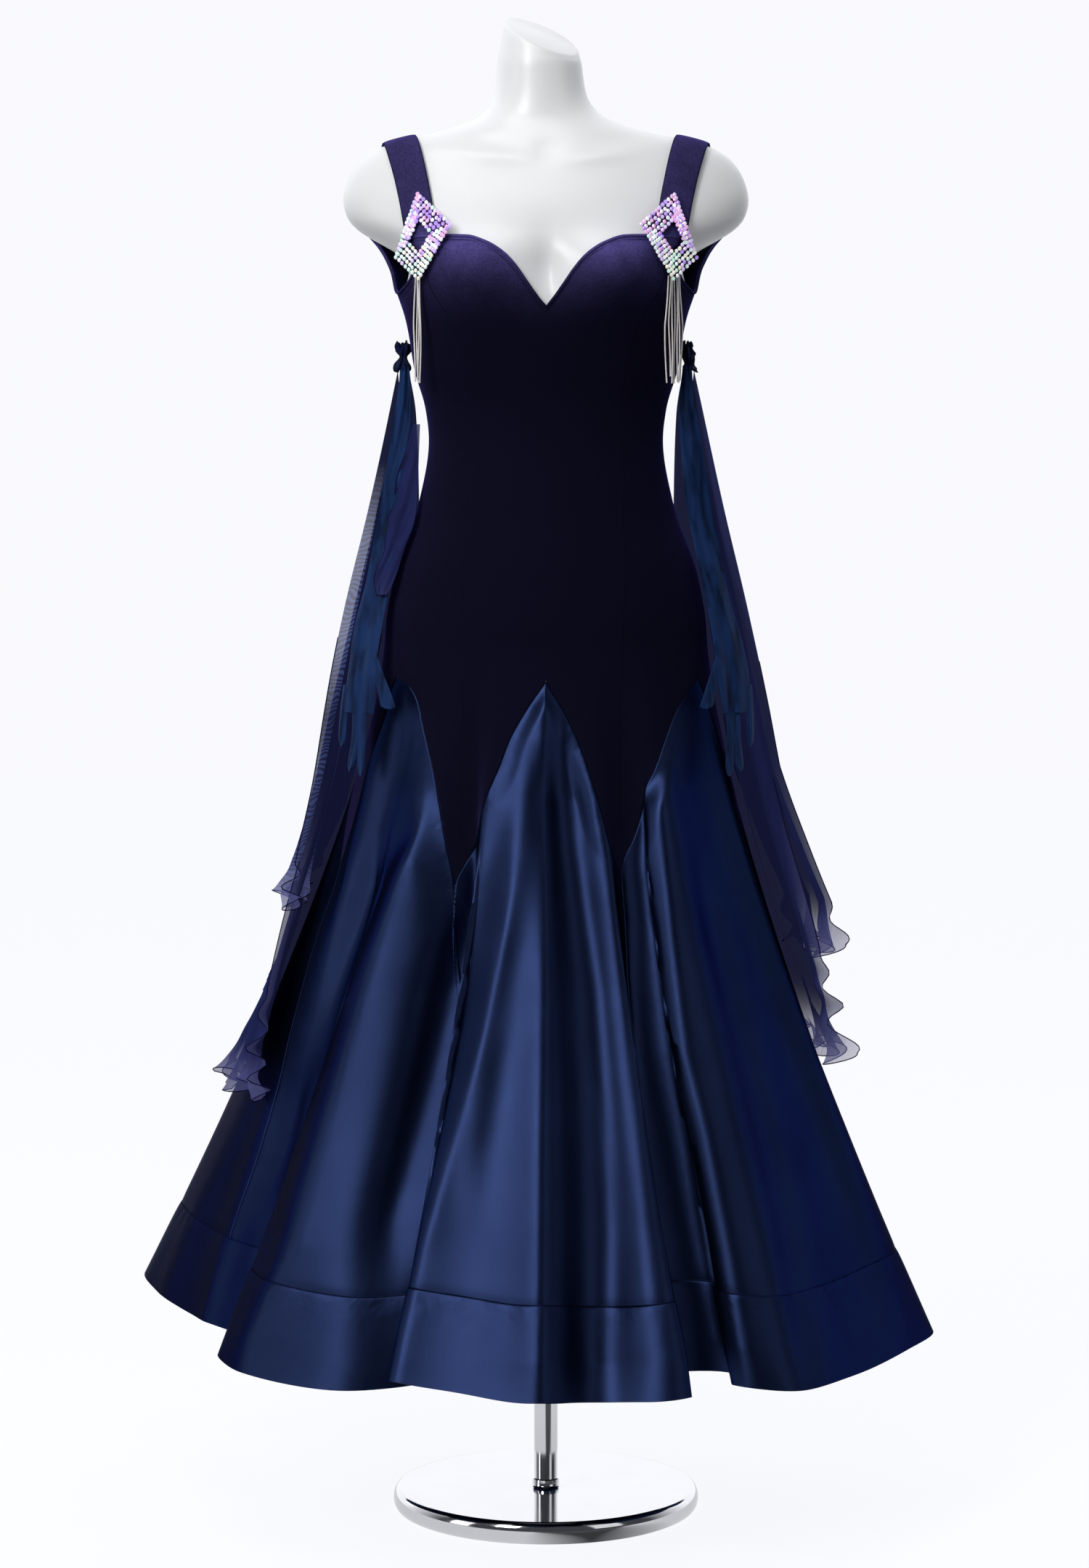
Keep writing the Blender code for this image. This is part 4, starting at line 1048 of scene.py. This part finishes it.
def front_y(x, z, off):
    """The depth of the front surface of the form, moved outwards."""
    share = side_share(x, z, off)
    return -(form_front(z) + off) * np.sqrt(1 - share**2) - bust(np.degrees(np.arcsin(share)), z)


def cloth_y(x, z, off):
    """The depth of the gown's front outside, moved outwards."""
    angle = np.degrees(np.arcsin(side_share(x, z, WALL_STAND_OFF)))
    return front_y(x, z, WALL_STAND_OFF + ease(angle, z) + off)


def back_y(x, z, off):
    """The depth of the back surface of the form, moved outwards."""
    return (form_back(z) + off) * np.sqrt(1 - side_share(x, z, off) ** 2)


def over_shoulder(x, turn, off):
    """Points above the form in directions about a line through the shoulder."""
    def outside(reach):
        y = -reach * np.cos(turn)
        z = STRAP_TURN_Z + reach * np.sin(turn)
        depth = np.where(y < 0, front_y(x, z, off), back_y(x, z, off))
        return (np.abs(x) >= form_half_width(z) + off) | (np.abs(y) >= np.abs(depth))

    reach = halved(np.zeros(x.shape), np.full(x.shape, 0.12), 30, outside)
    reach = reach + off * 0.5 * np.maximum(0.0, np.sin(turn))
    return np.stack([x, -reach * np.cos(turn), STRAP_TURN_Z + reach * np.sin(turn)], -1)


def straps():
    """Two velvet straps with turned edges, from the bust to the back panel."""
    share = np.linspace(0.0, 1.0, 110)[:, None]
    across = np.linspace(-0.5, 0.5, 21)[None, :]
    x = strap_x(share) + STRAP_WIDTH * across
    edge = np.abs(across) * 2
    off = np.broadcast_to(STRAP_OUTSIDE - 0.0008 * edge ** 8 + 0.0004 * (1 - edge ** 2), x.shape)
    start = np.arctan2(STRAP_FOOT_Z - STRAP_TURN_Z, -front_y(x, STRAP_FOOT_Z, off))
    end = math.pi - np.arctan2(STRAP_BACK_Z - STRAP_TURN_Z, back_y(x, STRAP_BACK_Z, off))
    points = over_shoulder(x, start + (end - start) * share, off)
    for side, word in SIDES:
        piece = keep(shell("velvet_strap_" + word, (points * (side, 1, 1))[::-side], VELVET, VELVET_FINISH),
                     "navy_velvet", "strap_" + word)


# Brooches, their outline and window on the +X side as (x, z)

BROOCH = np.array([(132, 1396), (155, 1332.5), (131, 1310), (97.5, 1364)]) / 1000
WINDOW = np.array([(131, 1369.5), (141.5, 1349), (131, 1337), (118.5, 1354.5)]) / 1000
BROOCH_THICKNESS = 0.0026
BROOCH_BEND = 0.4
BROOCH_CLEAR = 0.0030
BROOCH_MIDDLE_X = 0.128
BROOCH_MIDDLE_Z = 1.345
STONE_PITCH = 0.0044
STONE_RADIUS = 0.0024
STONE_ROWS = [0.10, 0.33, 0.56, 0.79, 1.0]
# Violet, pink, lilac, mint, lemon and clear
STONE_TONES = [(0.45, 0.22, 0.90), (0.86, 0.42, 0.78), (0.72, 0.55, 1.00), (0.66, 0.95, 0.82),
               (0.96, 0.92, 0.68), (0.95, 0.96, 1.00)]


def brooch_y(x, z):
    """The back of a brooch: part follows the cloth, part is flat."""
    step = 0.004
    nearer, flat, farther = [cloth_y(BROOCH_MIDDLE_X + aside, BROOCH_MIDDLE_Z, BROOCH_CLEAR)
                             for aside in (-step, 0.0, step)]
    flat = flat + (farther - nearer) / (2 * step) * (x - BROOCH_MIDDLE_X)
    cloth = cloth_y(x, z, BROOCH_CLEAR)
    return np.minimum(cloth, flat * (1 - BROOCH_BEND) + cloth * BROOCH_BEND)


def stone_places():
    """Centres of the stones, in rows that follow the kite's edges."""
    places = []
    for part in STONE_ROWS:
        corners = WINDOW + (BROOCH - WINDOW) * part
        for start, stop in zip(corners, np.roll(corners, -1, axis=0)):
            count = max(1, round(np.linalg.norm(stop - start) / STONE_PITCH))
            places += [start + (stop - start) * k / count for k in range(count)]
    return places


def stone(centre, normal, radius, spin):
    """One eight-sided stone: girdle, crown and table."""
    side = unit(np.cross(normal, (0.0, 0.0, 1.0)))
    lift = np.cross(side, normal)
    verts = []
    for grow, rise, twist in ((0.92, 0.0, 0.0), (1.0, 0.35, 0.0), (0.62, 0.85, 0.5)):
        for k in range(8):
            turn = 2 * math.pi * (k + twist) / 8 + spin
            flat = math.cos(turn) * side + math.sin(turn) * lift
            verts.append(centre + radius * (grow * flat + rise * normal))
    faces = []
    for k in range(8):
        m = (k + 1) % 8
        faces += [(k, m, 8 + m, 8 + k), (8 + k, 8 + m, 16 + k), (8 + m, 16 + m, 16 + k)]
    return verts, faces + [range(16, 24), range(7, -1, -1)]


def stone_tint(height, rng):
    """Violet and pink towards the top of a brooch, mint and clear towards its foot."""
    upper = 1 / (1 + math.exp(-(height - 1.343) / 0.010))
    odds = np.array([0.34 * upper, 0.24 * upper, 0.16 + 0.14 * upper,
                     0.26 - 0.18 * upper, 0.14 - 0.12 * upper, 0.44 - 0.26 * upper])
    return STONE_TONES[rng.choice(len(STONE_TONES), p=odds / odds.sum())]


def brooch_stones():
    """The stones on both brooches, each brooch one mesh."""
    for side, word in SIDES:
        rng = np.random.default_rng(7 + side)
        verts, faces, tints = [], [], []
        for x, z in stone_places():
            x = x + rng.normal(0.0, 0.00025)
            z = z + rng.normal(0.0, 0.00025)
            slope_x = (brooch_y(x + 0.001, z) - brooch_y(x - 0.001, z)) / 0.002
            slope_z = (brooch_y(x, z + 0.001) - brooch_y(x, z - 0.001)) / 0.002
            normal = unit(np.array([side * slope_x, -1.0, slope_z]) + rng.normal(0.0, 0.10, 3))
            centre = np.array([side * x, brooch_y(x, z) - BROOCH_THICKNESS, z])
            radius = STONE_RADIUS * rng.uniform(0.92, 1.02)
            points, sides = stone(centre, normal, radius, rng.uniform(0, 0.8))
            faces += [[len(verts) + k for k in face] for face in sides]
            verts += points
            tints += [(*stone_tint(z, rng), 1.0)] * len(points)
        obj = new_object("brooch_stones_" + word, verts, faces, STONE_FINISH, 5.0)
        layer = obj.data.color_attributes.new("tint", "FLOAT_COLOR", "POINT")
        layer.data.foreach_set("color", np.array(tints, np.float32).ravel())
        keep(obj, "stone_cloth")
        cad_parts["brooch_" + word].material_slots[0].material = VELVET_FINISH


# Tassels

TASSEL_X = 0.1325
TASSEL_TOP = 1.3100
TASSEL_TUCK = 0.003
TASSEL_LENGTH = 0.108
STRAND_RADIUS = 0.00082


def tassel_y(x, z):
    """Depth of a hanging strand: in front of the cloth behind and below it."""
    return np.minimum(cloth_y(x, z, 0.0024), cloth_y(x, TASSEL_TOP, 0.0024)) - 0.0006


def tassels():
    """Silver strands that hang from the foot of each brooch."""
    for (side, word), strands, pitch in zip(SIDES, (4, 7), (0.0022, 0.0025)):
        rng = np.random.default_rng(21 + side)
        paths = []
        for n in range(strands):
            start = (n - (strands - 1) / 2) * pitch
            foot = start * rng.uniform(0.85, 1.15) + rng.normal(0.0, 0.0007)
            length = TASSEL_LENGTH * (1.0 - 0.07 * rng.random())
            part = np.linspace(0.0, 1.0, 34)
            x = TASSEL_X + start * 0.45 * (1 - part) + foot * np.minimum(1.0, 0.35 + part * 1.4)
            x += 0.0005 * np.sin(7.0 * part + 1.7 * n)
            z = TASSEL_TOP + TASSEL_TUCK - (length + TASSEL_TUCK) * part
            y = tassel_y(x, z) - 0.0016 * (n % 3) * part - 0.0006 * np.sin(5 * part + n)
            paths.append(np.stack([side * x, y, z], -1))
        keep(tube("silver_strands_" + word, paths, STRAND_RADIUS, 8, SILVER_FINISH),
             "silver_cord", "tassel_" + word)


# Cuffs

CUFF_Z = 1.2310
CUFF_HEIGHT = 0.027
CUFF_RADIUS = 0.0074
CUFF_Y = 0.012
NET = 0.0005


def cuffs():
    """A small crushed ruffle under each arm, gathered at its middle."""
    turns = np.linspace(0.0, 2 * math.pi, 121)[None, :]
    rise = np.linspace(0.5, -0.5, 30)[:, None]
    open_part = np.abs(2 * rise)
    for side, word in SIDES:
        low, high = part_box("cuff_" + word)
        flare = 0.86 + 0.22 * np.sin(9 * rise + side) - 0.16 * bell(rise, 0.0, 0.12)
        waves = 0.26 * np.sin(5 * turns + 2.6 * rise + side)
        waves = waves + 0.20 * np.sin(8 * turns - 3.1 * rise + 2 * side)
        waves = waves + 0.10 * np.sin(13 * turns + 7.0 * rise + 1.0)
        radius = CUFF_RADIUS * flare * (1 + waves * (0.35 + 0.65 * open_part))
        crush = 0.0022 * np.sin(3 * turns + side) + 0.0014 * np.sin(7 * turns + 2.0)
        x = (low[0] + high[0]) / 2 + 0.0025 * side * within(-2 * rise) + radius * np.sin(turns)
        z = CUFF_Z + CUFF_HEIGHT * rise + crush * open_part
        points = np.stack([x, CUFF_Y - radius * np.cos(turns), z], -1)
        piece = keep(shell("net_ruffle_" + word, points, NET, RUFFLE_FINISH), "blue_mesh", "cuff_" + word)


# Floats

LONG_FLOAT = table(
    "z outer inner first last",
    (1221.2, 154.5, 149, 96, 102), (1170, 158, 144, 93, 106), (1070, 179, 148, 91, 113),
    (970, 202, 170, 91, 120), (870, 223, 200, 91, 125), (750, 250, 230, 90, 128),
    (630, 285, 265, 88, 129), (550, 305, 290, 86, 127), (490, 318, 310, 86, 122))
SHORT_FLOAT = table(
    "z outer inner first last",
    (1221.2, 155, 157.2, 93.2, 95.8), (1170, 166, 156, 89, 101), (1070, 188, 168, 87, 106),
    (970, 212, 190, 87, 110), (870, 234, 215, 87, 113), (780, 252, 238, 87, 115),
    (710, 270, 256, 87, 114), (655, 285, 273, 87, 112))
# Where the foot of a layer begins, and how much lower and wider some hang there
FOOT_Z = 0.80
FOOT_RISE = 0.16
FLOAT_FOOT = {("long", "left"): (0.040, 0.0), ("short", "right"): (0.050, 0.020)}


def skirt_reach(angle, z):
    """How far out the folded skirt comes in directions at true heights."""
    far = np.zeros(np.shape(angle))
    for step in range(-16, 17, 2):
        cloth = angle + step
        x, y = skirt_ring(cloth, within((HIP_Z - z) / (HIP_Z - hem_z(wrap(cloth)))))
        near = np.abs(wrap(np.degrees(np.arctan2(x, -y)) - angle)) < 6.0
        far = np.where(near, np.maximum(far, np.hypot(x, y)), far)
    return far


def float_points(rows, side, waves, clear, curl, extra, swell):
    """A layer of chiffon, gathered at the cuff and rippled at its free edges."""
    down = np.linspace(0.0, 1.0, 150)[:, None]
    across = np.linspace(0.0, 1.0, 81)[None, :]
    tall = rows["z"][0] - rows["z"][-1] + extra
    z = rows["z"][0] - tall * down
    outer, inner, first, last = read(rows, z, "outer", "inner", "first", "last")
    angle = first + (last - first) * across
    swing = 2 * math.pi * waves * across + 3.0 * down + 0.6 * np.sin(3.5 * down + side)
    reach = outer + (inner - outer) * across + 0.006 * np.minimum(1.0, down * 1.6) * (np.sin(swing) - 1.0)
    reach = reach + swell * within((FOOT_Z - z) / FOOT_RISE)
    full = np.broadcast_to(z, angle.shape)
    blend = within((HIP_Z + 0.05 - full) / 0.08)
    reach = np.maximum(reach, (skirt_reach(side * angle, full) + clear) * blend + reach * (1 - blend))
    left = (1 - down) * tall
    near_foot = np.exp(-left / 0.022)
    both_sides = np.exp(-across * 10) + np.exp(-(1 - across) * 10)
    near_side = both_sides * np.minimum(1.0, 1.8 * within(1.0 - left / curl))
    rough = 2 * math.pi * (left / 0.042 + 0.12 * np.sin(down * 31.0 + side))
    lettuce = near_foot * np.sin(2 * math.pi * across * 5.5 + side) + near_side * np.sin(rough)
    reach = reach + 0.0120 * lettuce
    turn = np.radians(angle + 0.9 * near_side * np.cos(rough + 0.6))
    drop = 0.010 * near_foot * np.cos(2 * math.pi * across * 3.2 + 1.0)
    return np.stack([side * reach * np.sin(turn), -reach * np.cos(turn), full + drop], -1)


def rolled_hem(word, path):
    """The dense rolled edge of a layer of chiffon."""
    return keep(tube("rolled_hem_" + word, [path], 0.0006, 6, ROLLED_HEM_FINISH), "navy_chiffon")


def floats():
    """Two layers of chiffon at each side, with rolled hems."""
    plans = (("long", LONG_FLOAT, 3.0, 0.005, 0.115, (0.32, 0.80), 0.108),
             ("short", SHORT_FLOAT, 2.5, 0.013, 0.045, (0.25, 0.60), 0.057))
    for side, word in SIDES:
        for kind, rows, waves, clear, curl, flat, area in plans:
            extra, swell = FLOAT_FOOT.get((kind, word), (0.0, 0.0))
            points = float_points(rows, side, waves, clear, curl, extra, swell)[:, ::side]
            piece = keep(shell("chiffon_" + kind + "_" + word, points, 0.0, CHIFFON_FINISH),
                         "navy_chiffon", "float_" + kind + "_" + word)
            count, columns = points.shape[:2]
            down = np.linspace(0.0, 1.0, count)[:, None]
            from_outer = np.linspace(0.0, 1.0, columns)[None, ::side]
            height = points[..., 2]
            hem = bell((1 - down) * (height[0, 0] - height[-1, 0]), 0.0, 0.030)
            sheer = 0.20 if kind == "long" else 0.10
            free_edge = sheer * bell(from_outer, 0.0, 0.09) * within((FOOT_Z - height) / FOOT_RISE)
            layers = 0.995 - 0.34 * hem - free_edge
            doubled = within(1 - from_outer / 0.8) * (kind == "short" and word == "left")
            window = doubled * within((height - 0.85) / 0.08) * within((1.12 - height) / 0.08)
            lower = doubled * within((0.90 - height) / 0.10)
            store(piece, "banded", 0.55 * window + 0.25 * lower)
            store(piece, "layers", layers - 0.16 * window - 0.09 * lower)
            half = count // 2
            path = np.concatenate([points[half:, 0], points[-1, 1:], points[half:-1, -1][::-1]])
            rolled_hem(kind + "_" + word, path)


# Gloves

GLOVE = table(
    "z near far",
    (1221.2, 144, 152), (1180, 140, 158), (1100, 144, 170), (1050, 152, 179), (990, 164, 190),
    (930, 174, 205), (885, 180, 211), (860, 183, 213))
FINGERS = table(
    "root_x root_z tip_x tip_z width bend",
    (187, 925, 165.5, 866, 17, -2), (190, 884, 193, 795, 11.5, 2), (201, 884, 205.5, 799, 11, -3),
    (209, 888, 215, 824, 10.5, 2))
GLOVE_LAY = table(
    "z depth middle slope",
    (780, -82, 185, 0.9), (900, -72, 170, 0.9), (1060, -20, 150, 0.5), (1221.2, 9.5, 148, 0))
GLOVE_DEPTH = 0.0045
FINGER_DEPTH = 0.0036


def glove_y(x, z):
    """Depth of the glove's back face, slanted to lie along the hip."""
    depth, middle, slope = [np.interp(z, GLOVE_LAY["z"], GLOVE_LAY[name])
                            for name in ("depth", "middle", "slope")]
    return depth + slope * (x - middle)


def glove_tube(heights, near, far, depth, side, puff):
    """Rings of a flattened tube, with soft lengthwise wrinkles that deepen at the hand."""
    turns = np.linspace(0.0, 2 * math.pi, 61)[None, :]
    z = heights[:, None]
    hand = within((1.00 - z) / 0.12)
    middle = (near + far)[:, None] / 2 + 0.0022 * np.sin(21 * z + side) * hand
    half = (far - near)[:, None] / 2 * (1 + 0.10 * np.sin(55 * z + 2 * side) * hand)
    x = middle + half * np.cos(turns)
    fold = np.sin(5 * np.cos(turns) + 26 * z + 2 * np.sin(17 * z) + side)
    fold = fold + 0.7 * np.sin(3 * np.cos(turns) - 44 * z) * (0.3 + hand)
    y = glove_y(x, z) - depth / 2 * (1 + np.sin(turns)) - puff * fold * np.sin(turns) ** 2
    return np.stack([side * x, y, np.broadcast_to(z, x.shape)], -1)[:, ::-side]


def gloves():
    """Empty long gloves: a flat sleeve, a thumb and three fingers."""
    z = np.linspace(GLOVE["z"][0], GLOVE["z"][-1], 130)
    near, far = read(GLOVE, z, "near", "far")
    share = np.linspace(0.0, 1.0, 30)
    for side, word in SIDES:
        sleeve = glove_tube(z, near, far, GLOVE_DEPTH, side, 0.0016)
        piece = keep(shell("net_glove_" + word, sleeve, 0.0, NET_FINISH), "blue_mesh", "glove_" + word)
        for n, (root_x, root_z, tip_x, tip_z, width, bend) in enumerate(zip(*FINGERS.values())):
            blunt, power = (0.76, 2) if n else (0.94, 3)
            tip = np.clip(1 - within((share - blunt) / (1.005 - blunt)) ** power, 0.02, 1)
            half = width / 2 * np.sqrt(tip) * (1 - 0.25 * np.sin(math.pi * share * 0.9))
            x = root_x + (tip_x - root_x) * share + bend * np.sin(math.pi * share)
            heights = root_z + (tip_z - root_z) * share
            rings = glove_tube(heights, x - half, x + half, FINGER_DEPTH, side, 0.0005)
            name = "net_finger_" + str(n + 1) + "_" + word
            keep(shell(name, rings, 0.0, NET_FINISH), "blue_mesh")


# The strip of chiffon that hangs forward over the left glove, from its top to its foot
FLAP = table(
    "z outer inner",
    (1160, 140, 132), (1130, 147.5, 133), (1100, 157.5, 134), (1078, 159, 135.5), (1062, 166, 137),
    (1030, 169, 148), (997, 180, 159), (982, 177, 167))


def flap():
    """The forward strip of the left short float."""
    down = np.linspace(0.0, 1.0, 90)[:, None]
    across = np.linspace(0.0, 1.0, 37)[None, :]
    z = FLAP["z"][0] + (FLAP["z"][-1] - FLAP["z"][0]) * down
    outer, inner = read(FLAP, z, "outer", "inner")
    x = outer + (inner - outer) * across
    ripple = 0.0030 * np.sin(2 * math.pi * 1.5 * across + 9 * down)
    ripple = ripple + 0.0025 * np.exp(-across * 6) * np.sin(down * 38.0)
    y = glove_y(x, z) - 0.0075 - ripple * within(down * 3)
    points = np.stack([-x, y, np.broadcast_to(z, x.shape)], -1)
    piece = keep(shell("chiffon_flap_left", points, 0.0, CHIFFON_FINISH), "navy_chiffon")
    store(piece, "layers", 0.93 - 0.12 * np.exp(-(1 - down) / 0.05) + 0 * across)
    store(piece, "banded", np.zeros(x.shape))
    hem = rolled_hem("flap", np.concatenate([points[:, 0], points[-1, 1:]]))


# Room

FLOOR_HALF_SIZE = 9.0
ROOM_FRONT = (0.045, 0.048, 0.055)
ROOM_BACK = (0.97, 0.97, 1.0)
ROOM_SEEN = (0.752, 0.752, 0.775)
CAMERA_X = -0.0015
CAMERA_Z = 1.18
CAMERA_DISTANCE = 4.5
# How far below the camera the point lies that it looks at
CAMERA_DROP = 0.4
CAMERA_LENS = 97.88
EXPOSURE = 0.34
# Name, place, point aimed at, width and height, watts
LIGHTS = (
    ("key_light", (-2.0, -3.3, 2.9), (0.0, 0.0, 0.85), (1.2, 1.9), 60.0),
    ("fill_light", (2.8, -2.6, 1.8), (0.0, 0.0, 0.9), (1.6, 2.4), 8.0),
    ("top_light", (-0.5, -1.3, 3.4), (0.0, 0.0, 1.1), (1.8, 1.2), 20.0),
    ("side_light", (-3.2, -1.4, 1.1), (-0.3, 0.1, 0.45), (1.0, 2.0), 9.0),
    ("rim_light_left", (-2.6, 2.0, 2.0), (0.0, 0.0, 0.9), (0.8, 2.4), 1.5),
    ("rim_light_right", (2.6, 2.0, 2.0), (0.0, 0.0, 0.9), (0.8, 2.4), 0.6),
)


def floor():
    """Pale paper, evenly bright as the camera sees it, with a dark patch that only reflections see: a
    painted reflection for the chrome.
    """
    mesh = bpy.data.meshes.new("floor")
    half = FLOOR_HALF_SIZE
    corners = [(-half, -half, 0), (half, -half, 0), (half, half, 0), (-half, half, 0)]
    mesh.from_pydata(corners, [], [(0, 1, 2, 3)])
    ground = bpy.data.objects.new("floor", mesh)
    bpy.context.scene.collection.objects.link(ground)
    paper, shader, tree, place = new_material("floor_paper", Base_Color=(0.10, 0.10, 0.105),
                                              Specular_IOR_Level=0.0, Emission_Strength=0.742)
    spot = split(place)
    # Painted reflection: glossy rays see the floor ahead of the stand dark in a patch, which puts a dark
    # stripe in the chrome.
    ahead = spot["Y"] * -1.0
    past_left = (spot["X"] + ahead * 0.15) * 14.0
    before_right = (ahead * 1.6 - spot["X"]) * 5.0
    painted_reflection = 0.8 - past_left.clamped() * before_right.clamped() * 0.77
    ray = add(tree, "LightPath")
    seen = maths("MAXIMUM", ray["Is Camera Ray"], ray["Is Glossy Ray"] * painted_reflection)
    feed(shader, Emission_Color=mix(seen, (0.0, 0.0, 0.0), (0.96, 0.97, 1.0)))
    mesh.materials.append(paper)


def white_room():
    """Dark in front and white behind for the light it gives, and pale as the camera sees it."""
    world = bpy.data.worlds.new("white_room")
    bpy.context.scene.world = world
    world.use_nodes = True
    tree = world.node_tree
    background = tree.nodes["Background"]
    behind = (split(add(tree, "TexCoord")["Generated"])["Y"] * 1.3 + 0.12).clamped()
    feed(background, Color=mix(behind, ROOM_FRONT, ROOM_BACK), Strength=1.0)
    both = add(tree, "MixShader", add(tree, "LightPath")["Is Camera Ray"], Value(background.outputs[0]),
               add(tree, "Background", Color=ROOM_SEEN))
    feed(tree.nodes["World Output"], Surface=both)


def lights():
    """A key from the upper left, a fill, a top light, a side light and two rims, all soft."""
    for name, place, aim, size, power in LIGHTS:
        light = bpy.data.lights.new(name, "AREA")
        light.shape = "RECTANGLE"
        light.size, light.size_y = size
        light.energy = power
        obj = bpy.data.objects.new(name, light)
        obj.location = place
        obj.rotation_euler = (Vector(aim) - Vector(place)).to_track_quat("-Z", "Y").to_euler()
        bpy.context.scene.collection.objects.link(obj)


def camera():
    """The photograph's view: straight on, from a little above the chest."""
    lens = bpy.data.cameras.new("view")
    lens.sensor_fit = "VERTICAL"
    lens.sensor_height = 36.0
    lens.lens = CAMERA_LENS
    obj = bpy.data.objects.new("view", lens)
    obj.location = (CAMERA_X, -CAMERA_DISTANCE, CAMERA_Z)
    obj.rotation_euler = (math.pi / 2 - math.atan(CAMERA_DROP / CAMERA_DISTANCE), 0.0, 0.0)
    bpy.context.scene.collection.objects.link(obj)
    bpy.context.scene.camera = obj


def main():
    """Build every piece, the room and the view."""
    for step in (camera, dress_stand, dress_form, velvet_panels, satin_godets, hem_bands, straps,
                 brooch_stones, tassels, cuffs, floats, gloves, flap, floor, white_room, lights):
        step()
    bpy.context.scene.view_settings.view_transform = "Standard"
    bpy.context.scene.view_settings.exposure = EXPOSURE
    bpy.context.view_layer.update()


main()
